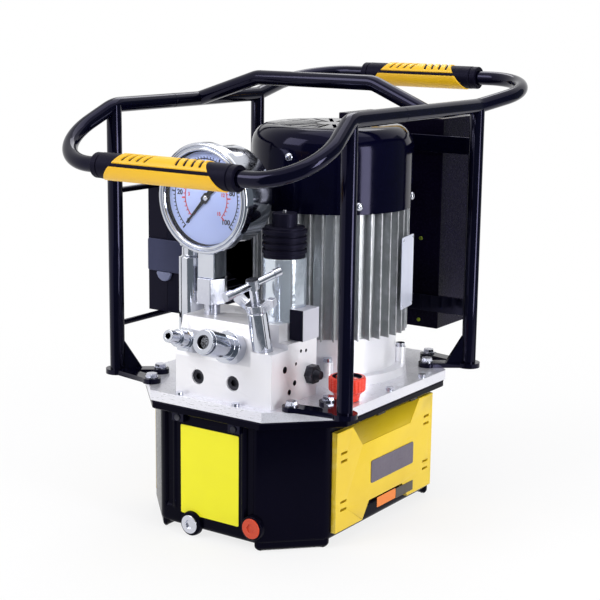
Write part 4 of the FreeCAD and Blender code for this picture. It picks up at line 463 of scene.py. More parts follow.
BOX_PAINT = Finish(
    "control_box_paint", "box_black", tint(7, 5, 16), tint(13, 8, 30), smooth=0.2, rough=0.32,
    scale=340, relief=0.00001, specular=0.08, gloss_tint=LILAC, scuff=0.06)
COOLER_PAINT = Finish(
    "cooler_paint", "cooler_black", tint(12, 12, 24), tint(16, 17, 32), metallic=0.2, smooth=0.3,
    rough=0.5, scale=500, relief=0.00005, specular=0.12, gloss_tint=LILAC)
STRAP_PAINT = Finish(
    "strap_paint", "cooler_black", tint(58, 62, 92), tint(48, 52, 82), metallic=0.2, smooth=0.35, rough=0.5,
    scale=500, relief=0.00004, specular=0.3, scuff=0.1)
STRAP_LUG = Finish(
    "strap_lug_moulding", "connector_grey", tint(122, 128, 160), tint(104, 110, 146), Texture.MOULDED,
    smooth=0.35, rough=0.5, scale=900, relief=0.00004)
GAUGE_GLASS = ClearFinish(
    "clear_lens_glass", "gauge_glass", (1.0, 1.0, 1.0), (0.97, 0.98, 1.0), Texture.SMOOTH, smooth=0.0,
    rough=0.02, scale=30)
DIAL_PRINT = Finish(
    "dial_face", "dial_blue", tint(178, 192, 240), tint(172, 187, 238), smooth=0.4, rough=0.5, scale=900,
    relief=0.00001)
DIAL_BLACK = Finish(
    "dial_black_ink", "needle_black", tint(14, 16, 44), tint(18, 20, 50), smooth=0.4, rough=0.55)
DIAL_RED = Finish(
    "dial_red_ink", "plug_orange", tint(214, 48, 52), tint(204, 42, 48), smooth=0.4, rough=0.55)
# Black needle paint, also used for the painted shade on the ring between lens and dial.
NEEDLE_AND_SHADE_PAINT = Finish(
    "needle_and_painted_shade", "needle_black", tint(5, 5, 16), tint(8, 8, 20), smooth=0.4, rough=0.5, specular=0.2)
LABEL_VINYL = Finish(
    "label_vinyl", "panel_yellow", tint(248, 242, 14), tint(242, 235, 10), smooth=0.34, rough=0.46,
    scale=220, relief=0.00004, scuff=0.15)
BADGE_VINYL = Finish(
    "badge_vinyl", "connector_grey", tint(98, 90, 104), tint(84, 78, 94), smooth=0.35, rough=0.5,
    scale=300, relief=0.00003, scuff=0.2)
STICKER_ORANGE = Finish(
    "orange_sticker", "plug_orange", tint(238, 140, 52), tint(226, 124, 44), smooth=0.35, rough=0.5,
    scale=260, relief=0.00003)
STICKER_DARK = Finish(
    "dark_sticker", "plastic_black", tint(84, 76, 66), tint(66, 60, 56), smooth=0.35, rough=0.5,
    scale=260, relief=0.00003)
NAMEPLATE_METAL = Finish(
    "nameplate_aluminium", "plate_aluminium", tint(224, 228, 244), tint(204, 208, 230), Texture.MACHINED,
    metallic=0.5, smooth=0.3, rough=0.45, scale=400, stretch=(1.0, 1.0, 7.0), relief=0.00001, scuff=0.1)
SCREW_PASSIVATED = Finish(
    "yellow_passivated_screw", "bright_steel", tint(170, 190, 60), tint(120, 140, 50), Texture.MACHINED,
    metallic=0.8, smooth=0.25, rough=0.4, scale=600, relief=0.00001)

FINISH_OF_SLOT = {
    finish.slot: finish
    for finish in (
        TANK_PAINT, FRAME_PAINT, RUBBER, PANEL_YELLOW, GRIP_YELLOW, PLATE_METAL, MOTOR_METAL, BRIGHT_STEEL,
        BLACK_STEEL_AND_SHADE, CORE_STEEL, CHROME, PUMP_IRON, PLUG_ORANGE, CAP_RED, COWL_PAINT, BLACK_PLASTIC_AND_SHADE,
        CONNECTOR_GREY, BOX_PAINT, COOLER_PAINT, GAUGE_GLASS, DIAL_PRINT, NEEDLE_AND_SHADE_PAINT)
}


# ---------------------------------------------------------------- meshes


@dataclass(frozen=True)
class Box:
    """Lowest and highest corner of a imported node, in metres."""

    low: np.ndarray
    high: np.ndarray

    @classmethod
    def of(cls, node: str) -> "Box":
        """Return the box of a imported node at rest."""
        low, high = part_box(node)
        return cls(np.array(low), np.array(high))

    @classmethod
    def of_side(cls, node: str, back: bool) -> "Box":
        """Return the box of a node's solids in front of or behind the middle.

        Args:
            node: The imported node.
            back: Whether to take the solids with Y above 0.

        Returns:
            The box of those vertices.
        """
        points = mesh_points(frame["nodes"][node].data)
        chosen = points[(points[:, 1] > 0) == back]
        return cls(chosen.min(0), chosen.max(0))

    @property
    def middle(self) -> np.ndarray:
        """Return the box's centre."""
        return (self.low + self.high) / 2

    @property
    def size(self) -> np.ndarray:
        """Return the box's three sizes."""
        return self.high - self.low


def mesh_points(mesh: bpy.types.Mesh) -> np.ndarray:
    """Return a mesh's vertices as rows of three numbers."""
    flat = np.empty(len(mesh.vertices) * 3)
    mesh.vertices.foreach_get("co", flat)
    return flat.reshape(-1, 3)


def placed(name: str, data: bpy.types.ID) -> bpy.types.Object:
    """Put a new object into the scene, at the origin.

    Args:
        name: The object's name.
        data: Its mesh, text, lamp or camera.

    Returns:
        The object.
    """
    piece = bpy.data.objects.new(name, data)
    bpy.context.scene.collection.objects.link(piece)
    return piece


def lifted(ring: np.ndarray, level: float) -> np.ndarray:
    """Give an outline's points, rows of x and y, the same height."""
    return np.concatenate([ring, np.full((len(ring), 1), level)], 1)


def shaded(piece: bpy.types.Object, angle: float = 32.0) -> bpy.types.Object:
    """Smooth a piece's faces, and keep edges sharper than the angle."""
    mesh = piece.data
    mesh.polygons.foreach_set("use_smooth", np.ones(len(mesh.polygons), bool))
    mesh.set_sharp_from_angle(angle=math.radians(angle))
    return piece


def new_piece(name: str, points: np.ndarray, faces: list, angle: float = 32.0) -> bpy.types.Object:
    """Make an object of points and faces, merge its doubles and turn its faces outwards.

    Args:
        name: The piece's name.
        points: Vertices in metres, one row each.
        faces: Vertex indices of each face.
        angle: Edges sharper than this many degrees stay sharp.

    Returns:
        The object, at the origin.
    """
    mesh = bpy.data.meshes.new(name)
    mesh.from_pydata(np.asarray(points, float).tolist(), [], faces)
    work = bmesh.new()
    work.from_mesh(mesh)
    bmesh.ops.remove_doubles(work, verts=work.verts, dist=1e-6)
    bmesh.ops.recalc_face_normals(work, faces=work.faces)
    work.to_mesh(mesh)
    work.free()
    return shaded(placed(name, mesh), angle)


def grid_faces(rows: int, columns: int, around: bool) -> np.ndarray:
    """Return the quads of a grid of points, row by row, closed round its columns where asked."""
    across = columns if around else columns - 1
    row, column = np.meshgrid(np.arange(rows - 1), np.arange(across), indexing="ij")
    after = (column + 1) % columns
    quads = [row * columns + column, row * columns + after, (row + 1) * columns + after,
             (row + 1) * columns + column]
    return np.stack(quads, -1).reshape(-1, 4)


def skin(name: str, grid: np.ndarray, around: bool, capped: bool, angle: float = 32.0) -> bpy.types.Object:
    """Make a surface from a grid of points.

    Args:
        name: The piece's name.
        grid: Points as (rows, columns, 3).
        around: Whether the columns close into rings.
        capped: Whether the first and last ring are filled.
        angle: Edges sharper than this many degrees stay sharp.

    Returns:
        The object.
    """
    rows, columns = grid.shape[:2]
    faces = grid_faces(rows, columns, around).tolist()
    if capped:
        faces.append(list(range(columns)))
        faces.append(list(range((rows - 1) * columns, rows * columns)))
    return new_piece(name, grid.reshape(-1, 3), faces, angle)


def frame_of(way: np.ndarray) -> tuple[np.ndarray, np.ndarray, np.ndarray]:
    """Return two directions square to a way, and the way itself, each of length one."""
    way = np.asarray(way, float) / np.linalg.norm(way)
    helper = np.array([0.0, 0.0, 1.0]) if abs(way[2]) < 0.9 else np.array([1.0, 0.0, 0.0])
    side = np.cross(helper, way)
    side /= np.linalg.norm(side)
    return side, np.cross(way, side), way


def lathe(
    name: str, profile: list, centre: np.ndarray, way: tuple, segments: int = 72, closed: bool = False,
) -> bpy.types.Object:
    """Turn a profile round an axis.

    A point at height h and angle a lies at centre + h way + r (cos a side + sin a other).

    Args:
        name: The piece's name.
        profile: Pairs of radius and height, in metres; a radius of 0 closes an end.
        centre: Where height 0 lies on the axis.
        way: The axis direction.
        segments: Points round each ring.
        closed: Whether the last pair joins the first, as a ring's section does.

    Returns:
        The turned piece.
    """
    side, other, way = frame_of(np.asarray(way))
    rows = list(profile) + ([profile[0]] if closed else [])
    radius, height = np.array(rows, float).T
    turn = np.linspace(0, 2 * np.pi, segments, endpoint=False)
    ring = np.cos(turn)[:, None] * side + np.sin(turn)[:, None] * other
    grid = np.asarray(centre) + height[:, None, None] * way + radius[:, None, None] * ring[None]
    capped = not closed and min(radius[0], radius[-1]) > 0
    return skin(name, grid, True, capped)


def arc(
    middle: tuple, size: tuple, start: float = 0.0, end: float = math.pi / 2, steps: int = 6,
) -> list[tuple[float, float]]:
    """Return points along a part of an ellipse.

    Args:
        middle: Its middle, two numbers.
        size: Its half axes.
        start: The angle where it starts.
        end: The angle where it ends.
        steps: Its points.

    Returns:
        Pairs of numbers, such as a profile's radius and height.
    """
    return [
        (middle[0] + size[0] * math.cos(turn), middle[1] + size[1] * math.sin(turn))
        for turn in np.linspace(start, end, steps)]


def heading(degrees: float) -> np.ndarray:
    """Return the level direction that many degrees round from the unit's right."""
    return np.array([math.cos(math.radians(degrees)), math.sin(math.radians(degrees)), 0.0])


def sheet_outline(
    name: str, corners: np.ndarray, thick: float, centre: np.ndarray, across: tuple | np.ndarray,
    up: tuple | np.ndarray = Axis.UP.value,
) -> bpy.types.Object:
    """Make a thin flat plate from its outline.

    Args:
        name: The piece's name.
        corners: Outline as rows of across and up, in metres.
        thick: Thickness, towards across x up.
        centre: Where the outline's origin lies.
        across: Direction of the outline's first number.
        up: Direction of its second.

    Returns:
        The plate.
    """
    across, up = np.asarray(across, float), np.asarray(up, float)
    out = np.cross(across, up)
    flat = np.asarray(centre) + corners[:, :1] * across + corners[:, 1:] * up
    count = len(corners)
    points = np.concatenate([flat, flat + out * thick])
    faces = [list(range(count)), list(range(count, 2 * count))]
    faces += [[i, (i + 1) % count, count + (i + 1) % count, count + i] for i in range(count)]
    return new_piece(name, points, faces)


def rounded_rectangle(width: float, height: float, radius: float) -> np.ndarray:
    """Return a rectangle's outline with round corners, centred on the origin."""
    arcs = []
    for index, (side, rise) in enumerate(CORNER_SIGNS):
        middle = side * (width / 2 - radius), rise * (height / 2 - radius)
        arcs += arc(middle, (radius, radius), index * math.pi / 2, (index + 1) * math.pi / 2)
    return np.array(arcs)


def softened(piece: bpy.types.Object, width: float, segments: int = 2) -> bpy.types.Object:
    """Round a piece's sharp edges with a bevel that keeps flat faces flat."""
    bevel = piece.modifiers.new("rounded_edges", "BEVEL")
    bevel.width = width
    bevel.segments = segments
    bevel.limit_method = "ANGLE"
    bevel.angle_limit = math.radians(35)
    bevel.harden_normals = True
    return piece


def finished(piece: bpy.types.Object, finish: Finish, body: str, *nodes: str) -> bpy.types.Object:
    """Give a piece its finish, its body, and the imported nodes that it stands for.

    Args:
        piece: The new piece.
        finish: Its finish.
        body: The body that carries it.
        *nodes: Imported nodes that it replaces.

    Returns:
        The piece.
    """
    piece.data.materials.clear()
    piece.data.materials.append(finish.material())
    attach(piece, body)
    if nodes:
        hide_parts(*nodes)
    LOG.info("made %s on %s", piece.name, body)
    return piece


def flat_plate(
    name: str, size: tuple[float, float], corner: float, thick: float, centre: np.ndarray,
    across: tuple | np.ndarray, finish: Finish, edge: float = 0.0, up: tuple = Axis.UP.value,
    body: str = "unit",
) -> None:
    """Make a rectangular plate with round corners, and finish it.

    Args:
        name: The piece's name.
        size: Its width and height.
        corner: Its corners' radius.
        thick: Its thickness, towards across x up.
        centre: The middle of its back.
        across: The direction of its width.
        finish: Its finish.
        edge: The width of its edges' rounding, or 0 for sharp ones.
        up: The direction of its height.
        body: The body that carries it.
    """
    plate = sheet_outline(name, rounded_rectangle(*size, corner), thick, centre, across, up)
    finished(softened(plate, edge) if edge else plate, finish, body)


def rounded_copy(
    node: str, width: float, finish: Finish | None = None, segments: int = 2,
) -> bpy.types.Object:
    """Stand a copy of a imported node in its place, with its edges rounded.

    Args:
        node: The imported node.
        width: The bevel's width in metres.
        finish: Its finish, or None for its slot's own.
        segments: Steps across the bevel.

    Returns:
        The copy.
    """
    mesh = frame["nodes"][node].data.copy()
    work = bmesh.new()
    work.from_mesh(mesh)
    bmesh.ops.remove_doubles(work, verts=work.verts, dist=2e-6)
    bmesh.ops.dissolve_limit(work, angle_limit=math.radians(0.5), verts=work.verts, edges=work.edges)
    work.to_mesh(mesh)
    work.free()
    mesh.name = node + "_shell"
    piece = softened(shaded(placed(node + "_shell", mesh)), width, segments)
    return finished(piece, finish or FINISH_OF_SLOT[SLOT_OF[node]], BODY_OF[node], node)


def rounded_copies(segments: int = 2, **widths: float) -> dict[str, bpy.types.Object]:
    """Make a rounded copy of each named node.

    Args:
        segments: Steps across each bevel.
        **widths: Each node's bevel's width in metres.

    Returns:
        The copies, by node.
    """
    return {node: rounded_copy(node, width, segments=segments) for node, width in widths.items()}


def painted(*nodes: str) -> None:
    """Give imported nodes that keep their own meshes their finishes."""
    for node in nodes:
        materials = frame["nodes"][node].data.materials
        materials.clear()
        materials.append(FINISH_OF_SLOT[SLOT_OF[node]].material())


def bump_step(distance: np.ndarray, half: float, soft: float) -> np.ndarray:
    """Return 1 within half of a line and 0 outside it, with a soft edge."""
    return np.clip((half + soft - np.abs(distance)) / soft, 0, 1)


def rounded_polygon(corners: np.ndarray, radius: float, steps: int = 6) -> np.ndarray:
    """Return a polygon's outline with an arc at each corner, whichever way round it runs.

    Args:
        corners: Rows of x and y.
        radius: The arcs' radius.
        steps: Points along each arc.

    Returns:
        The outline's points.
    """
    points = []
    for before, here, after in zip(np.roll(corners, 1, 0), corners, np.roll(corners, -1, 0)):
        come = (here - before) / np.linalg.norm(here - before)
        leave = (after - here) / np.linalg.norm(after - here)
        turn = math.atan2(come[0] * leave[1] - come[1] * leave[0], come @ leave)
        inward = np.array([-come[1], come[0]])
        middle = here - come * radius * abs(math.tan(turn / 2)) + inward * radius * np.sign(turn)
        angle = np.linspace(0, turn, steps)[:, None]
        arm = -inward * radius * np.sign(turn)
        side = come * radius * np.sign(turn)
        points.append(middle + arm * np.cos(angle) + side * np.sin(angle))
    return np.concatenate(points)


def inset_polygon(corners: np.ndarray, inset: float) -> np.ndarray:
    """Move each side of a polygon, given clockwise, inwards by the same distance.

    Args:
        corners: The polygon's corners.
        inset: How far its sides move.

    Returns:
        Its new corners, each where the lines of its two sides meet.
    """
    along = np.roll(corners, -1, 0) - corners
    along /= np.linalg.norm(along, axis=1, keepdims=True)
    inward = np.stack([along[:, 1], -along[:, 0]], -1)
    before = np.roll(inward, 1, 0)
    return corners + (before + inward) * inset / (1 + (before * inward).sum(1, keepdims=True))


def octagon_ring(half: np.ndarray, corner: float, radius: float) -> np.ndarray:
    """Return a rectangle with cut corners and rounded turns, with many points along its front and back.

    Args:
        half: Half its width and half its length.
        corner: How far each corner is cut back.
        radius: The radius at each turn.

    Returns:
        The outline's points, about the middle, with the same count for every size.
    """
    wide, long = half
    corners = np.array([
        [corner - wide, -long], [wide - corner, -long], [wide, corner - long], [wide, long - corner],
        [wide - corner, long], [corner - wide, long], [-wide, long - corner], [-wide, corner - long]])
    arcs = rounded_polygon(corners, radius, 7).reshape(8, 7, 2)
    share = np.linspace(0, 1, LONG_SIDE_POINTS + 2)[1:-1, None]
    parts = []
    for index, arc in enumerate(arcs):
        parts.append(arc)
        if index in (0, 4):
            parts.append(arc[-1] + (arcs[index + 1][0] - arc[-1]) * share)
    return np.concatenate(parts)


def second_finish(
    piece: bpy.types.Object, finish: Finish, chosen: Callable[[bpy.types.MeshPolygon], bool],
) -> None:
    """Give the faces of a piece that a test chooses a finish of their own.

    Args:
        piece: The piece.
        finish: The finish of the chosen faces.
        chosen: A function of a face that says whether it is chosen.
    """
    piece.data.materials.append(finish.material())
    for face in piece.data.polygons:
        face.material_index = 1 if chosen(face) else 0


def long_axis(node: str) -> tuple[np.ndarray, np.ndarray, float]:
    """Return the middle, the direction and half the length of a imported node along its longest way."""
    points = mesh_points(frame["nodes"][node].data)
    middle = points.mean(0)
    way = np.linalg.svd(points - middle, full_matrices=False)[2][0]
    reach = (points - middle) @ way
    return middle + way * (reach.max() + reach.min()) / 2, way, (reach.max() - reach.min()) / 2


def surface_reach(node: str, start: tuple[float, float, float], way: tuple[float, float, float]) -> Vector:
    """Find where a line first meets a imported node.

    Args:
        node: The node's name.
        start: Where the line starts.
        way: Which way it goes.

    Returns:
        The place it meets.
    """
    mesh = frame["nodes"][node].data
    tree = BVHTree.FromPolygons(
        [vertex.co for vertex in mesh.vertices], [face.vertices for face in mesh.polygons])
    place = tree.ray_cast(Vector(start), Vector(way))[0]
    if place is None:
        raise ValueError("no part of %s lies on that line" % node)
    return place


# ---------------------------------------------------------------- sub-assemblies


@dataclass
class OilTank:
    """The tank, its cover plate, side panels and plugs, with the bare labels. Lengths in metres."""

    rim_out: tuple[float, float] = (0.017, 0.006)
    rim_height: float = 0.006
    wall: float = 0.004
    foot: float = 0.007
    corner: float = 0.048
    rim_corner: float = 0.059
    rim_round: float = 0.004
    rim_bevel: float = 0.0006
    round: float = 0.012
    edge_round: float = 0.005
    wall_rows: int = 46
    foot_inset: float = 0.001
    foot_run: float = 0.004
    foot_depth: float = 0.026
    foot_round: float = 0.0055
    foot_corner: float = 0.0012
    channel: tuple[float, float] = (0.0448, 0.0528)
    channel_depth: float = 0.0026
    channel_slope: float = 0.0016
    channel_base: float = 0.024
    channel_end: float = 0.004
    bead_gap: float = 0.003
    bead_half: float = 0.0022
    bead_height: float = 0.0011
    boss_spots: tuple = ((-0.02, 0.0125), (0.054, 0.024))
    boss_radius: float = 0.012
    boss_bore: float = 0.006
    boss_height: float = 0.004
    boss_flare: float = 0.0004
    boss_edge: float = 0.001
    sides: tuple = (("left_side_panel", -1), ("right_side_panel", 1))
    panel_round: float = 0.0022
    panel_proud: float = 0.0016
    crease_share: float = 0.25
    label_size: tuple[float, float] = (0.0705, 0.0902)
    label_middle: tuple[float, float] = (0.0012, 0.066)
    label_thick: float = 0.0003
    badge_size: tuple[float, float] = (0.082, 0.023)
    badge_middle: tuple[float, float] = (-0.003, 0.0598)
    badge_thick: float = 0.0008
    strip_height: float = 0.0105
    strips: tuple = ((-0.013, 0.036, 0.0245, STICKER_ORANGE), (0.0228, 0.034, 0.0238, STICKER_DARK))

    def build(self) -> None:
        """Make the tank's pieces."""
        rim = Box.of("reservoir_tank")
        self.middle, self.top = rim.middle[:2], rim.high[2]
        self.half = rim.size[:2] / 2 - np.array(self.rim_out)
        finished(self.build_shell(), TANK_PAINT, "unit", "reservoir_tank")
        for index, (side, way) in enumerate(((1, -1), (1, 1), (-1, 1), (-1, -1))):
            self.build_foot("tank_foot_%d" % index, side, way)
        for index, (across, level) in enumerate(self.boss_spots):
            self.build_boss(index, across, level)
        rounded_copy("cover_plate", 0.0009)
        for node, sign in self.sides:
            self.build_panel(node, sign)
        rounded_copies(tank_gasket=0.0003, cover_clamps=0.0005, drain_plug=0.0006, sight_plug=0.0008)
        fasteners = rounded_copy("plate_fasteners", 0.0003)
        second_finish(fasteners, BLACK_STEEL_AND_SHADE, lambda face: face.center.z < self.top)
        self.build_front_label()
        for node, sign in self.sides:
            self.build_panel_labels(node, sign)

    def build_shell(self) -> bpy.types.Object:
        """The open tank: rings run up inside, over the rim, down the wall and under its round lower edge."""
        outer, inner = self.inset_ring(0.0), self.inset_ring(self.wall)
        reach, under = self.half + np.array(self.rim_out), self.top - self.rim_height
        rim = octagon_ring(reach, self.rim_corner, self.rim_round)
        thin = octagon_ring(reach - self.rim_bevel, self.rim_corner, self.rim_round)
        rows = [
            (inner, self.foot + self.wall), (inner, self.top), (thin, self.top),
            (rim, self.top - self.rim_bevel), (rim, under + self.rim_bevel), (thin, under)]
        for level in np.linspace(under, self.foot + self.edge_round, self.wall_rows):
            rows.append((self.channelled(outer, level), level))
        edge = self.edge_round
        turned = arc((edge, self.foot + edge), (-edge, -edge))
        rows += [(self.inset_ring(inset), level) for inset, level in turned[1:]]
        grid = np.stack([lifted(ring + self.middle, level) for ring, level in rows])
        return skin("tank_shell", grid, True, True, 28.0)

    def inset_ring(self, inset: float) -> np.ndarray:
        """Return the wall's outline, moved inwards."""
        return octagon_ring(self.half - inset, self.corner - inset * CORNER_SHRINK, self.round - inset)

    def channelled(self, ring: np.ndarray, level: float) -> np.ndarray:
        """Press the front and back of a ring in at the upright channels, with a bead beside each.

        Args:
            ring: The ring's outline about the tank's middle.
            level: The ring's height.

        Returns:
            The outline with its channels.
        """
        across = np.abs(ring[:, 0])
        flat = np.abs(ring[:, 1]) > self.half[1] - 1e-6
        middle, half = sum(self.channel) / 2, (self.channel[1] - self.channel[0]) / 2
        deep = bump_step(across - middle, half - self.channel_slope / 2, self.channel_slope)
        away = (across - self.channel[0] + self.bead_gap) / self.bead_half
        bead = np.clip(1 - away ** 2, 0, 1) ** 0.5
        share = np.clip((level - self.channel_base) / self.channel_end, 0, 1)
        share = share * share * (3 - 2 * share)
        shift = (self.channel_depth * deep - self.bead_height * bead) * share * flat
        return np.stack([ring[:, 0], ring[:, 1] * (1 - shift / self.half[1])], -1)

    def build_foot(self, name: str, side: int, way: int) -> None:
        """One foot under a cut corner, with rounded ends.

        Args:
            name: Its name.
            side: 1 on the right, -1 on the left.
            way: 1 at the back, -1 at the front.
        """
        half = self.half - self.foot_inset
        cut = half - self.corner
        end = cut - self.foot_run
        corners = np.array([
            [end[0], half[1]], [cut[0], half[1]], [half[0], cut[1]], [half[0], end[1]],
            [half[0] - self.foot_depth, end[1]], [end[0], half[1] - self.foot_depth]])
        corners = corners[::side * way] * np.array([side, way])
        edge = self.foot_round
        rows = [(0.0, self.foot + self.foot_run)] + arc((edge, edge), (-edge, -edge), steps=7)
        grid = [
            lifted(rounded_polygon(inset_polygon(corners, inset), self.foot_corner) + self.middle, level)
            for inset, level in rows]
        finished(skin(name, np.stack(grid), True, True), TANK_PAINT, "unit")

    def build_boss(self, index: int, across: float, level: float) -> None:
        """A round boss that a plug screws into.

        Args:
            index: Its number.
            across: Its place to the right of the tank's middle.
            level: Its height.
        """
        edge, flare = self.boss_edge, self.boss_radius + self.boss_flare
        profile = [(flare, -0.001), (flare, 0.0008)]
        profile += arc((self.boss_radius - edge, self.boss_height - edge), (edge, edge), steps=5)
        profile += [(self.boss_bore, self.boss_height), (self.boss_bore, -0.001)]
        spot = np.array([self.middle[0] + across, self.middle[1] - self.half[1], level])
        boss = lathe("plug_boss_%d" % index, profile, spot, Axis.FORWARD.value, closed=True)
        finished(boss, TANK_PAINT, "unit")

    def build_panel(self, node: str, sign: int) -> None:
        """A moulded side panel: thick, with a round outer edge and softly stepped facets.

        Args:
            node: The side's panel.
            sign: 1 on the right, -1 on the left.
        """
        panel = rounded_copy(node, self.panel_round, segments=4)
        points = mesh_points(panel.data)
        box = Box.of(node)
        wall, face = (box.low[0], box.high[0]) if sign > 0 else (box.high[0], box.low[0])
        share = np.clip((points[:, 0] - wall) / (face - wall), 0, 1)
        points[:, 0] += sign * self.panel_proud * np.minimum(share * 2.0, 1.0)
        panel.data.vertices.foreach_set("co", points.ravel())
        weight = panel.data.attributes.new("bevel_weight_edge", "FLOAT", "EDGE")
        edges = np.array([edge.vertices[:] for edge in panel.data.edges])
        ends = points[edges]
        outer = np.abs(ends[..., 0] - (face + sign * self.panel_proud)).max(1) < 1e-5
        border = np.zeros(len(edges), bool)
        for axis in (1, 2):
            for level in (box.low[axis], box.high[axis]):
                border |= np.abs(ends[..., axis] - level).max(1) < 1e-5
        share = np.where(outer & border, 1.0, np.where(outer, self.crease_share, 0.0))
        weight.data.foreach_set("value", share.astype(float))
        panel.modifiers["rounded_edges"].limit_method = "WEIGHT"

    def build_front_label(self) -> None:
        """A bare yellow label on the tank's front wall."""
        front = np.array([
            self.middle[0] + self.label_middle[0], self.middle[1] - self.half[1], self.label_middle[1]])
        flat_plate(
            "front_label", self.label_size, 0.0015, self.label_thick, front, Axis.RIGHT.value, LABEL_VINYL)

    def build_panel_labels(self, node: str, sign: int) -> None:
        """A dark badge and two small bare stickers on one side.

        Args:
            node: The side's panel.
            sign: 1 on the right, -1 on the left.
        """
        panel = Box.of(node)
        side = "right" if sign > 0 else "left"
        face = panel.high[0] if sign > 0 else panel.low[0]
        centre = np.array(surface_reach(node, (face + sign * 0.01, *self.badge_middle), (-sign, 0, 0)))
        centre[0] += sign * self.panel_proud
        flat_plate(
            side + "_badge", self.badge_size, 0.002, self.badge_thick, centre, (0, sign, 0), BADGE_VINYL)
        for index, (middle, width, level, finish) in enumerate(self.strips):
            centre = np.array([face + sign * self.panel_proud, middle, level])
            flat_plate(
                "%s_sticker_%d" % (side, index), (width, self.strip_height), 0.0008, self.label_thick,
                centre, (0, sign, 0), finish)


@dataclass
class CarryFrame:
    """The tubular frame with its legs and its two grips. Lengths in metres."""

    sleeve_radius: float = 0.0122
    shell_radius: float = 0.0132
    slots: int = 4
    slot_depth: float = 0.0016
    slot_half: float = 0.0011
    slot_pitch: float = 0.0088
    slot_starts: tuple[float, float] = (0.034, 0.03)
    slot_span: tuple[float, float] = (34.0, 122.0)
    slot_fade: float = 0.12
    slot_middle: float = 60.0
    seam_half: float = 0.0014
    seams: tuple[float, float] = (14.0, 166.0)
    slant: float = 0.011
    end_gaps: tuple[float, float] = (0.004, 0.006)
    soft: float = 0.0007
    rows: int = 260
    columns: int = 144

    def build(self) -> None:
        """Make the frame's pieces."""
        for node in (
            "frame_leg_front_left", "frame_leg_front_right", "frame_leg_rear_left", "frame_leg_rear_right",
            "front_carry_loop", "rear_carry_loop", "cross_bar", "accessory_bars",
        ):
            rounded_copy(node, 0.0006)
        rounded_copies(grip_sleeves=0.0008)
        first = self.build_grip("front_grip", Box.of_side("grip_shells", False))
        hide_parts("grip_shells")
        self.build_grip("rear_grip", Box.of_side("grip_shells", True))

    def build_grip(self, name: str, box: Box) -> bpy.types.Object:
        """A two-part yellow shell over a black sleeve, with slanted ends and slots.

        Args:
            name: The grip's name.
            box: The box of its packed shell.

        Returns:
            The yellow shell.
        """
        middle, length = box.middle, box.size[0]
        ends = [(0.0, 0.0), (self.sleeve_radius - 0.001, 0.0), (self.sleeve_radius, 0.001)]
        ends += [(radius, length - height) for radius, height in reversed(ends)]
        start = np.array([box.low[0], middle[1], middle[2]])
        sleeve = lathe(name + "_sleeve", ends, start, Axis.RIGHT.value, 64)
        finished(sleeve, RUBBER, "unit")
        shell = self.shell_surface(name + "_shell", start, length)
        return finished(shell, GRIP_YELLOW, "unit")

    def shell_surface(self, name: str, start: np.ndarray, length: float) -> bpy.types.Object:
        """The shell: its radius dips under the sleeve at the slots, the seams and beyond its slanted ends.

        Round the grip the turn is 0 at the front and 90 degrees on top.

        Args:
            name: The piece's name.
            start: The grip's left end on its axis.
            length: The grip's length.

        Returns:
            The shell.
        """
        along = np.linspace(0.003, length - 0.003, self.rows)[:, None]
        turn = np.linspace(-np.pi, np.pi, self.columns, endpoint=False)[None]
        rise = np.sin(turn)
        left_end = self.end_gaps[0] + self.slant * (rise + 1)
        right_end = length - self.end_gaps[1] - self.slant * 0.9 * (rise + 1)
        inside = np.clip((along - left_end) / self.soft, 0, 1)
        cut = 1 - inside * np.clip((right_end - along) / self.soft, 0, 1)
        for degrees in self.seams:
            away = self.shell_radius * turn - self.shell_radius * math.radians(degrees)
            cut = np.maximum(cut, bump_step(away, self.seam_half, self.soft))
        first, last = np.radians(self.slot_span)
        top = np.clip((turn - first) / self.slot_fade, 0, 1) * np.clip((last - turn) / self.slot_fade, 0, 1)
        lean = self.shell_radius * (turn - math.radians(self.slot_middle))
        for index in range(self.slots):
            left = self.slot_starts[0] + index * self.slot_pitch + lean * 0.55
            right = length - self.slot_starts[1] - index * self.slot_pitch - 0.15 * lean - 12 * lean * lean
            for curve in (left, right):
                cut = np.maximum(cut, bump_step(along - curve, self.slot_half, self.soft) * top)
        radius = self.shell_radius - self.slot_depth * cut
        ring = np.stack([np.zeros_like(turn), -np.cos(turn), rise], -1)
        grid = start + along[..., None] * np.array(Axis.RIGHT.value) + radius[..., None] * ring
        return skin(name, grid, True, True, 40.0)


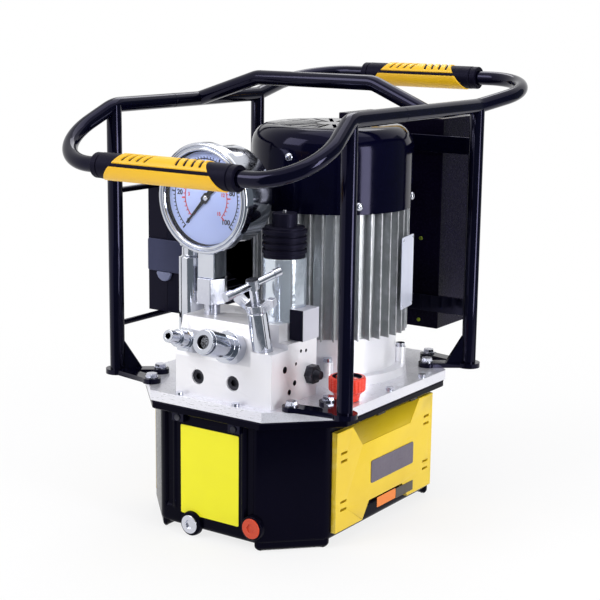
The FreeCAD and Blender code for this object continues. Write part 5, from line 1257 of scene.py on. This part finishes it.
@dataclass
class Motor:
    """The motor: bell, finned housing, fan cowl, and the parts inside. Lengths in metres."""

    screw_radius: float = 0.0042
    cowl_screws: tuple = ((0.3675, -87.5), (0.321, -38.0), (0.324, 23.0), (0.321, 112.0), (0.321, 202.0))
    screw_sunk: float = 0.0006
    plate_size: tuple[float, float] = (0.033, 0.0735)
    plate_thick: float = 0.001
    rivet_radius: float = 0.0015
    rivet_in: float = 0.003
    plate_angle: float = 10.5
    plate_middle: float = 0.2495
    plate_radius: float = 0.083

    def build(self) -> None:
        """Make the motor's pieces."""
        rounded_copy("motor_bell", 0.0012, BELL_METAL)
        rounded_copies(1, motor_housing=0.0005)
        rounded_copies(fan_cowl=0.0006)
        painted(
            "motor_stator", "motor_rotor", "motor_bearings", "cooling_fan", "shaft_coupling",
            "pump_housing", "pump_eccentric", "pump_pistons", "suction_strainer")
        cowl = Box.of("fan_cowl")
        self.axis = np.array([cowl.middle[0], cowl.middle[1], 0.0])
        for index, (level, degrees) in enumerate(self.cowl_screws):
            self.build_cowl_screw(index, level, degrees, cowl.size[0] / 2)
        self.build_nameplate()

    def build_cowl_screw(self, index: int, level: float, degrees: float, radius: float) -> None:
        """A pan head with a driving recess, standing on the cowl.

        Args:
            index: Its number.
            level: Its height over the floor.
            degrees: Its place round the motor.
            radius: The cowl's radius.
        """
        way = heading(degrees)
        centre = self.axis + way * (radius - self.screw_sunk) + np.array([0, 0, level])
        head = self.screw_radius
        top = arc((0.0, 0.0008), (head, head * 0.55), end=1.25, steps=7)
        recess = [(0.0013, top[-1][1]), (0.0011, 0.0012), (0.0, 0.0012)]
        screw = lathe("cowl_screw_%d" % index, [(0.0, 0.0), (head, 0.0)] + top + recess, centre, way, 24)
        finished(screw, BRIGHT_STEEL, "unit")

    def build_nameplate(self) -> None:
        """A bare plate on the fins, with a rivet in each corner."""
        out, across = heading(self.plate_angle), heading(self.plate_angle + 90)
        centre = self.axis + out * self.plate_radius + np.array([0, 0, self.plate_middle])
        flat_plate(
            "motor_nameplate", self.plate_size, 0.0015, self.plate_thick, centre, across,
            NAMEPLATE_METAL, 0.0003)
        profile = [(0.0, -0.0004), (self.rivet_radius, -0.0004)]
        profile += arc((0.0, 0.0), (self.rivet_radius, 0.001), steps=5)
        away = np.array(self.plate_size) / 2 - self.rivet_in
        for index, (side, rise) in enumerate(CORNER_SIGNS):
            spot = centre + out * self.plate_thick + across * side * away[0]
            spot = spot + np.array([0, 0, rise * away[1]])
            finished(lathe("nameplate_rivet_%d" % index, profile, spot, out, 16), BRIGHT_STEEL, "unit")


@dataclass
class ValveBlock:
    """The drilled block with its plugs, couplings, relief valve and solenoid valve. Lengths in metres."""

    bar_radius: float = 0.0036
    ring_proud: float = 0.0005
    bore_radius: float = 0.0068
    drilled: tuple[float, float] = (0.02, 0.0003)
    drilled_area: float = 1.2e-5

    def build(self) -> None:
        """Make the block's pieces."""
        block = rounded_copy("manifold_block", 0.0007, BLOCK_METAL)
        # Painted shade: the small faces inside the drilled holes take dark steel, for the shade in the holes.
        deep, shallow = (Box.of("manifold_block").high[0] - inset for inset in self.drilled)
        second_finish(
            block, BLACK_STEEL_AND_SHADE,
            lambda face: deep < face.center.x < shallow and face.area < self.drilled_area)
        made = rounded_copies(
            port_plugs=0.0004, female_coupler=0.0006, coupler_sleeve=0.0006, male_coupler=0.0005,
            relief_valve_body=0.0004, relief_lock_nut=0.0008, relief_t_handle=0.0007, solenoid_cap=0.0005,
            valve_armature=0.0003, solenoid_connector=0.0024)
        rounded_copy("solenoid_coil", 0.0006, COIL_PLATING)
        painted("relief_spindle")
        # Painted shade: the female coupler's bore walls take dark steel, for the shade inside its mouth.
        middle, way, _ = long_axis("female_coupler")
        second_finish(
            made["female_coupler"], BLACK_STEEL_AND_SHADE,
            lambda face: np.linalg.norm(np.cross(np.array(face.center) - middle, way)) < self.bore_radius
            and abs(np.dot(face.normal, way)) < 0.5)
        # Painted shade: the grey connector's faces that look forward take black plastic, for the shade on
        # that side.
        second_finish(made["solenoid_connector"], BLACK_PLASTIC_AND_SHADE, lambda face: face.normal.y < -0.7)
        self.build_bar()

    def build_bar(self) -> None:
        """The T-handle's bar, with a turned ring at each end."""
        middle, way, reach = long_axis("relief_t_handle")
        radius, ring = self.bar_radius, self.bar_radius + self.ring_proud
        end = [
            (0.0, 0.0), (ring - 0.0012, 0.0), (ring, 0.001), (ring, 0.0034), (radius - 0.0006, 0.0036),
            (radius - 0.0006, 0.0044), (ring - 0.0001, 0.0046), (ring - 0.0001, 0.0062), (radius, 0.0068)]
        profile = end + [(size, 2 * reach - height) for size, height in reversed(end)]
        bar = lathe("relief_bar", profile, middle - way * reach, way, 40)
        finished(bar, CHROME, "relief_handle")


@dataclass
class PressureGauge:
    """The gauge: case, bezel, dial with its scale, needle and lens. Lengths in metres."""

    sweep: float = 270.0
    zero: float = 228.0
    divisions: int = 50
    outer: float = 0.0372
    inner: float = 0.0248
    numbers: tuple = (
        ("dial_number_%d", 20, 0.032, 0.0068, DIAL_BLACK),
        ("dial_small_number_%d", 3, 0.0208, 0.0046, DIAL_RED),
    )
    boldness: float = 0.035
    ink: float = 0.00015
    line: float = 0.0009
    long_tick: float = 0.0046
    short_tick: float = 0.0027

    def build(self) -> None:
        """Make the gauge's pieces."""
        rounded_copies(
            3, gauge_case=0.0012, gauge_lens=0.0003, gauge_swivel_nut=0.0008, gauge_adapter=0.0005)
        rounded_copies(gauge_dial=0.0002)
        self.dial = Box.of("gauge_dial")
        self.face = np.array([self.dial.middle[0], self.dial.low[1], self.dial.middle[2]])
        self.build_bezel()
        self.build_scale("outer_scale", self.outer, self.divisions, 10, DIAL_BLACK)
        self.build_scale("inner_scale", self.inner, 30, 5, DIAL_RED)
        for index in range(6):
            for name, step, radius, size, finish in self.numbers:
                spot = self.face + radius * self.pointing(index / 5)[0]
                self.build_number(name % index, str(index * step), spot, size, finish)
        self.build_needle()

    def build_bezel(self) -> None:
        """A turned bezel with a groove between its two rings, and a dark ring between lens and dial that is
        painted shade.
        """
        box = Box.of("gauge_bezel")
        back = np.array([self.face[0], box.high[1], self.face[2]])
        deep, reach = box.size[1], box.size[0] / 2
        lens = box.high[1] - Box.of("gauge_lens").low[1]
        profile = [(reach, 0.0), (reach, deep - 0.0028)]
        profile += arc((reach - 0.0022, deep - 0.0028), (0.0022, 0.0026), 0.3, 1.9, 8)
        profile += [(reach - 0.0036, deep - 0.0018), (reach - 0.0041, deep - 0.0019)]
        profile += arc((reach - 0.0059, deep - 0.0016), (0.0016, 0.0016), 0.3, 2.9, 9)
        profile += [(reach - 0.0078, lens - 0.0002), (reach - 0.004, lens - 0.0003), (reach - 0.004, 0.0)]
        bezel = lathe("bezel_rings", profile, back, Axis.FORWARD.value, 144, closed=True)
        finished(bezel, CHROME, "unit", "gauge_bezel")
        # Painted shade: a ring in the needle's black paint stands between lens and dial, where the bezel's
        # wall lies in shade.
        dial, inner = box.high[1] - self.face[1], self.dial.size[0] / 2
        wall = [(inner + 0.0014, dial), (inner + 0.0014, lens - 0.0022), (inner - 0.0002, lens - 0.0022)]
        wall += [(inner - 0.0012, dial + 0.00002)]
        surround = lathe("dial_surround", wall, back, Axis.FORWARD.value, 96, closed=True)
        finished(surround, NEEDLE_AND_SHADE_PAINT, "unit")

    def pointing(self, share: float | np.ndarray) -> tuple[np.ndarray, np.ndarray]:
        """Return the directions out from the hub, and square to it, at shares of the sweep."""
        angle = np.radians(self.zero - self.sweep * share)
        level = np.zeros_like(angle)
        out = np.stack([np.cos(angle), level, np.sin(angle)], -1)
        return out, np.stack([-np.sin(angle), level, np.cos(angle)], -1)

    def build_scale(self, name: str, radius: float, divisions: int, major: int, finish: Finish) -> None:
        """An arc with its ticks: thin raised quads laid on the dial.

        Args:
            name: The scale's name.
            radius: The arc's radius.
            divisions: How many steps it has.
            major: Every how many ticks a long one stands.
            finish: Its ink.
        """
        count = np.arange(divisions + 1)
        reach = np.where(count % major == 0, self.long_tick, self.short_tick)[:, None]
        out, side = self.pointing(count / divisions)
        base, tip = self.face + out * radius, self.face + out * (radius + reach)
        shift = side * reach * 0.15
        lift = np.array([0.0, -self.ink, 0.0])
        corners = np.stack([base - shift, base + shift, tip + shift, tip - shift], 1)
        solid = np.concatenate([corners, corners + lift], 1)
        order = np.array(
            [[0, 1, 2, 3], [4, 5, 6, 7], [0, 1, 5, 4], [1, 2, 6, 5], [2, 3, 7, 6], [3, 0, 4, 7]])
        faces = (count[:, None, None] * 8 + order).reshape(-1, 4).tolist()
        ticks = new_piece(name + "_ticks", solid.reshape(-1, 3), faces)
        finished(ticks, finish, "unit")
        ring = self.pointing(np.linspace(0, 1, 91))[0]
        edge = radius + self.line
        section = np.array([[radius, 0.0], [radius, -self.ink], [edge, -self.ink], [edge, 0.0]])
        grid = self.face + ring[:, None] * section[None, :, :1] + np.array([0, 1.0, 0]) * section[None, :, 1:]
        finished(skin(name + "_arc", grid, True, True), finish, "unit")

    def build_number(self, name: str, digits: str, spot: np.ndarray, size: float, finish: Finish) -> None:
        """A number laid on the dial, upright, as a mesh.

        Args:
            name: The piece's name.
            digits: What it says.
            spot: Its middle on the dial.
            size: The height of its digits.
            finish: Its ink.
        """
        letters = bpy.data.curves.new(name, "FONT")
        letters.body = digits
        letters.size = size
        letters.extrude = self.ink / 2
        letters.offset = size * self.boldness
        letters.resolution_u = 3
        letters.align_x = letters.align_y = "CENTER"
        holder = placed(name + "_text", letters)
        bpy.context.view_layer.update()
        mesh = bpy.data.meshes.new_from_object(
            holder.evaluated_get(bpy.context.evaluated_depsgraph_get()))
        bpy.data.objects.remove(holder)
        place = Vector(spot + np.array([0.0, -self.ink / 2, 0.0]))
        mesh.transform(Matrix.Translation(place) @ Matrix.Rotation(math.pi / 2, 4, "X"))
        finished(placed(name, mesh), finish, "unit")

    def build_needle(self) -> None:
        """A tapered pointer with a broad tail, and a turned cap over its hub."""
        needle = Box.of("gauge_needle")
        hub = np.array([self.face[0], needle.low[1] + 0.0006, self.face[2]])
        along, _ = self.pointing(0.0)
        side = np.cross(along, (0.0, 1.0, 0.0))
        outline = np.array([
            [0.0352, 0.0], [0.034, 0.0008], [0.006, 0.0018], [0.0036, 0.004], [-0.0032, 0.004],
            [-0.0055, 0.0022], [-0.014, 0.0034], [-0.0145, 0.0], [-0.014, -0.0034], [-0.0055, -0.0022],
            [-0.0032, -0.004], [0.0036, -0.004], [0.006, -0.0018], [0.034, -0.0008]])
        centre = hub + np.array([0.0, 0.0006, 0.0])
        blade = sheet_outline("needle_blade", outline, 0.0006, centre, along, side)
        finished(softened(blade, 0.00012, 1), NEEDLE_AND_SHADE_PAINT, "needle", "gauge_needle")
        profile = [(0.0, -0.0002), (0.0027, -0.0002)] + arc((0.0, 0.0), (0.0027, 0.001))
        cap = lathe("needle_cap", profile, hub, Axis.FORWARD.value, 24)
        finished(cap, BRIGHT_STEEL, "needle")


@dataclass
class OilService:
    """The return filter, the filler neck and its cap. Lengths in metres."""

    ribs: int = 24
    rib_depth: float = 0.0009
    sunk_level: float = 0.855
    sunk_reach: float = 0.79

    def build(self) -> None:
        """Make the oil service pieces."""
        rounded_copies(return_filter=0.0006, filler_neck=0.0004)
        self.build_cap()

    def build_cap(self) -> None:
        """The filler cap: a tapered skirt under a ribbed grip ring, with a sunk dark top."""
        box = Box.of("filler_cap")
        foot = np.array([box.middle[0], box.middle[1], box.low[2]])
        tall, reach = box.size[2], box.size[0] / 2
        turn = np.linspace(0, 2 * np.pi, 240, endpoint=False)
        rib = np.clip(np.cos(turn * self.ribs) * 1.6, -1, 1) * 0.5 - 0.5
        profile = [
            (0.0, 0.0, 0), (0.62, 0.0, 0), (0.66, 0.03, 0), (0.72, 0.28, 0), (0.8, 0.34, 0), (0.88, 0.4, 0),
            (0.965, 0.44, 0.4), (0.985, 0.47, 1), (1.0, 0.9, 1), (0.985, 0.96, 0.6), (0.95, 0.99, 0.1),
            (0.9, 1.0, 0), (0.8, 1.0, 0), (0.77, 0.97, 0), (0.75, 0.88, 0), (0.3, 0.86, 0), (0.0, 0.86, 0)]
        radius, height, share = np.array(profile).T
        radius = radius[:, None] * reach + share[:, None] * rib * self.rib_depth
        ring = np.stack([np.cos(turn), np.sin(turn), np.zeros_like(turn)], -1)
        grid = foot + radius[..., None] * ring + height[:, None, None] * tall * np.array(Axis.UP.value)
        cap = skin("filler_cap_grip", grid, True, False, 30.0)
        finished(cap, CAP_RED, "cap", "filler_cap")
        sunk = foot + np.array([0.0, 0.0, tall * self.sunk_level])
        second_finish(
            cap, RUBBER, lambda face: face.center.z > sunk[2] and
            math.hypot(face.center.x - foot[0], face.center.y - foot[1]) < reach * self.sunk_reach)
        flat_plate(
            "cap_bar", (reach * 1.3, reach * 0.32), 0.0018, tall * 0.12, sunk, Axis.RIGHT.value, CAP_RED,
            0.0006, (0, 1, 0), "cap")


@dataclass
class ControlBox:
    """The control box with its screws and its cable gland. Lengths in metres."""

    screw_spots: tuple = ((0.1072, 0.0962), (0.1072, 0.0075), (0.0128, 0.0962), (0.0128, 0.0075))
    screw_radius: float = 0.0022

    def build(self) -> None:
        """Make the control box's pieces: each screw is a small domed head on the box's front."""
        rounded_copies(3, control_box=0.0015)
        rounded_copies(control_box_cover=0.0009, cable_gland=0.0006)
        box, head = Box.of("control_box"), self.screw_radius
        top = arc((0.0, 0.0003), (head, 0.0011), end=1.3)
        profile = [(0.0, -0.0003), (head, -0.0003)] + top
        profile += [(0.0006, top[-1][1]), (0.0005, 0.0006), (0.0, 0.0006)]
        for index, (across, rise) in enumerate(self.screw_spots):
            spot = box.low + np.array([across, 0.0, rise])
            screw = lathe("box_screw_%d" % index, profile, spot, Axis.FORWARD.value, 20)
            finished(screw, SCREW_PASSIVATED, "unit")


@dataclass
class OilCooler:
    """The oil cooler: its core, the fan frame and the fan, with a strap at each end. Lengths in metres."""

    strap_low: float = 0.0425
    strap_high: float = 0.0765
    strap_thick: float = 0.0022
    boss_radius: float = 0.0095
    boss_thick: float = 0.0035
    boss_shift: float = 0.004

    def build(self) -> None:
        """Make the cooler's pieces."""
        rounded_copies(cooler_core=0.0006, cooler_fan_frame=0.0008, cooler_fan_rotor=0.0003)
        fan, core = Box.of("cooler_fan_frame"), Box.of("cooler_core")
        wide = core.high[0] - fan.low[0]
        for name, face, sign in (("front", fan.low[1], 1), ("rear", fan.high[1], -1)):
            self.build_strap(name, np.array([fan.low[0] + wide / 2, face, fan.low[2]]), wide, sign)

    def build_strap(self, name: str, middle: np.ndarray, wide: float, sign: int) -> None:
        """A strap across the cooler's end, with a half-round lug under it.

        Args:
            name: Which end.
            middle: The end's foot, at the middle of its width.
            wide: The cooler's width.
            sign: 1 at the front, -1 at the rear.
        """
        centre = middle + np.array([0, 0, (self.strap_high + self.strap_low) / 2])
        size = wide - 0.001, self.strap_high - self.strap_low
        flat_plate(
            name + "_strap", size, 0.002, self.strap_thick, centre, (sign, 0, 0), STRAP_PAINT, 0.0008)
        half = np.array(arc((0.0, 0.0), (self.boss_radius, self.boss_radius), math.pi, 2 * math.pi, 17))
        base = middle + np.array([-self.boss_shift * sign, 0, self.strap_low - 0.0002])
        lug = sheet_outline(name + "_strap_lug", half, self.boss_thick, base, (sign, 0, 0))
        finished(softened(lug, 0.0012, 3), STRAP_LUG, "unit")


# ---------------------------------------------------------------- studio


@dataclass
class Studio:
    """A pale floor, a white background, a grey cloth, soft lamps and the camera.

    Lengths in metres, angles in degrees.
    """

    azimuth: float = 34.38
    elevation: float = 11.74
    roll: float = 0.69
    eye: tuple[float, float, float] = (0.8215, -1.2118, 0.5167)
    lens: float = 86.73
    sensor: float = 36.0
    lamps: tuple = (
        ("key", (-0.9, -1.7, 1.6), (1.1, 1.1), 24.0),
        ("side", (2.0, -0.6, 1.0), (0.9, 1.2), 1.5),
        ("strip", (1.62, -0.27, 0.42), (0.42, 0.9), 16.0),
        ("top", (0.1, 0.2, 2.2), (1.6, 1.6), 16.0),
        ("rear", (-0.75, 1.35, 2.0), (1.0, 1.0), 12.0),
    )
    aim: tuple[float, float, float] = (0.0, 0.0, 0.22)
    fill: float = 0.42
    floor_half: float = 6.0
    floor_colour: tuple[float, float, float] = (0.86, 0.86, 0.88)
    floor_fade: tuple[float, float, float] = (0.25, 0.9, 0.8)
    cloth_turn: tuple = (-100.0, -88.0, -20.0, 0.0, 70.0)
    cloth_steps: int = 41
    cloth_near: tuple = (1.2, 0.42, 0.42, 1.15, 1.15)
    cloth_far: float = 2.6
    cloth_levels: tuple = (0.002, 0.002, 1.9)
    cloth_colour: tuple[float, float, float] = (0.15, 0.17, 0.19)

    def build(self) -> None:
        """Set up the view transform, floor, world, lamps and camera."""
        bpy.context.scene.view_settings.view_transform = "Standard"
        self.build_floor()
        self.build_cloth()
        self.build_world()
        for name, place, size, power in self.lamps:
            self.build_lamp(name, place, size, power)
        self.build_camera()

    def build_floor(self) -> None:
        """A wide floor that keeps the unit's shadow and turns all white with distance."""
        corners = np.array(CORNER_SIGNS) * self.floor_half
        floor = sheet_outline("floor", corners, -0.01, np.zeros(3), Axis.RIGHT.value, (0, 1, 0))
        tree = self.own_material(floor, "pale_floor")
        shader = tree.nodes["Principled BSDF"]
        shader.inputs["Base Color"].default_value = (*self.floor_colour, 1.0)
        shader.inputs["Roughness"].default_value = 0.9
        shader.inputs["Specular IOR Level"].default_value = 0.1
        place = wired(tree, "ShaderNodeTexCoord").outputs["Object"]
        away = wired(tree, "ShaderNodeVectorMath", {"operation": "LENGTH"}, in0=place).outputs["Value"]
        near, far, least = self.floor_fade
        fade = wired(
            tree, "ShaderNodeMapRange", {"interpolation_type": "SMOOTHSTEP"},
            **{"Value": away, "From Min": near, "From Max": far, "To Min": least, "To Max": 1.0})
        share = maths(tree, "MULTIPLY", self.sight(tree), fade.outputs["Result"])
        white = wired(tree, "ShaderNodeEmission", None, Color=(1.0, 1.0, 1.0, 1.0), Strength=1.0)
        mix = wired(
            tree, "ShaderNodeMixShader", None, in0=share, in1=shader.outputs[0], in2=white.outputs[0])
        tree.links.new(mix.outputs[0], tree.nodes["Material Output"].inputs["Surface"])

    @staticmethod
    def own_material(piece: bpy.types.Object, name: str) -> bpy.types.NodeTree:
        """Give a piece of the studio a new material, and return its tree."""
        made = bpy.data.materials.new(name)
        made.use_nodes = True
        piece.data.materials.append(made)
        return made.node_tree

    @staticmethod
    def sight(tree: bpy.types.NodeTree) -> Socket:
        """Return a socket that is 1 for what the camera, gloss and glass see, and 0 for plain light."""
        path = wired(tree, "ShaderNodeLightPath").outputs
        clear = maths(tree, "MAXIMUM", path["Is Glossy Ray"], path["Is Transmission Ray"])
        return maths(tree, "MAXIMUM", path["Is Camera Ray"], clear)

    def build_cloth(self) -> None:
        """A dark grey cloth round the camera's side, over the floor and upright, that only gloss sees."""
        turn = np.linspace(self.cloth_turn[0], self.cloth_turn[-1], self.cloth_steps)
        near = np.interp(turn, self.cloth_turn, self.cloth_near)[:, None]
        ring = np.stack([np.cos(np.radians(turn)), np.sin(np.radians(turn))], -1)
        grid = np.stack([
            lifted(ring * reach, level)
            for reach, level in zip((near, self.cloth_far, self.cloth_far), self.cloth_levels)])
        cloth = skin("grey_cloth", grid, False, False)
        tree = self.own_material(cloth, "grey_cloth")
        grey = wired(tree, "ShaderNodeEmission", None, Color=(*self.cloth_colour, 1.0), Strength=1.0)
        tree.links.new(grey.outputs[0], tree.nodes["Material Output"].inputs["Surface"])
        cloth.visible_camera = cloth.visible_diffuse = cloth.visible_shadow = False
        cloth.visible_transmission = cloth.visible_volume_scatter = False

    def build_world(self) -> None:
        """White to the camera, gloss and glass, and plain grey light to the rest."""
        world = bpy.data.worlds.new("studio")
        bpy.context.scene.world = world
        world.use_nodes = True
        tree = world.node_tree
        strength = wired(
            tree, "ShaderNodeMix", {"data_type": "FLOAT"}, in0=self.sight(tree), in2=self.fill, in3=1.0)
        tree.links.new(strength.outputs[0], tree.nodes["Background"].inputs["Strength"])
        tree.nodes["Background"].inputs["Color"].default_value = (1.0, 1.0, 1.0, 1.0)

    def build_lamp(self, name: str, place: tuple, size: tuple, power: float) -> None:
        """A soft rectangular lamp that points at the unit's middle.

        Args:
            name: The lamp's name.
            place: Where it hangs.
            size: Its width and height.
            power: Its power in watts.
        """
        light = bpy.data.lights.new(name, "AREA")
        light.shape = "RECTANGLE"
        light.size, light.size_y = size
        light.energy = power
        lamp = placed(name, light)
        lamp.location = place
        way = Vector(self.aim) - Vector(place)
        lamp.rotation_euler = way.to_track_quat("-Z", "Y").to_euler()
        lamp.visible_camera = False

    def build_camera(self) -> None:
        """The camera, turned by azimuth, elevation and roll."""
        turn, tilt, roll = (math.radians(value) for value in (self.azimuth, self.elevation, self.roll))
        back = Vector((math.sin(turn) * math.cos(tilt), -math.cos(turn) * math.cos(tilt), math.sin(tilt)))
        right = Vector((math.cos(turn), math.sin(turn), 0.0))
        up = back.cross(right)
        across = right * math.cos(roll) + up * math.sin(roll)
        rise = up * math.cos(roll) - right * math.sin(roll)
        data = bpy.data.cameras.new("camera")
        data.lens = self.lens
        data.sensor_width = self.sensor
        camera = placed("camera", data)
        pose = Matrix((across, rise, back)).transposed().to_4x4()
        pose.translation = Vector(self.eye)
        camera.matrix_world = pose
        bpy.context.scene.camera = camera


def main() -> None:
    """Build the studio and every sub-assembly."""
    logging.basicConfig(level=logging.INFO, format="%(name)s: %(message)s")
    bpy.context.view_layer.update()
    Studio().build()
    for part in (
        OilTank(), CarryFrame(), Motor(), ValveBlock(),
        PressureGauge(), OilService(), ControlBox(), OilCooler(),
    ):
        part.build()
        LOG.info("%s is built", type(part).__name__)


if __name__ == "__main__":
    main()
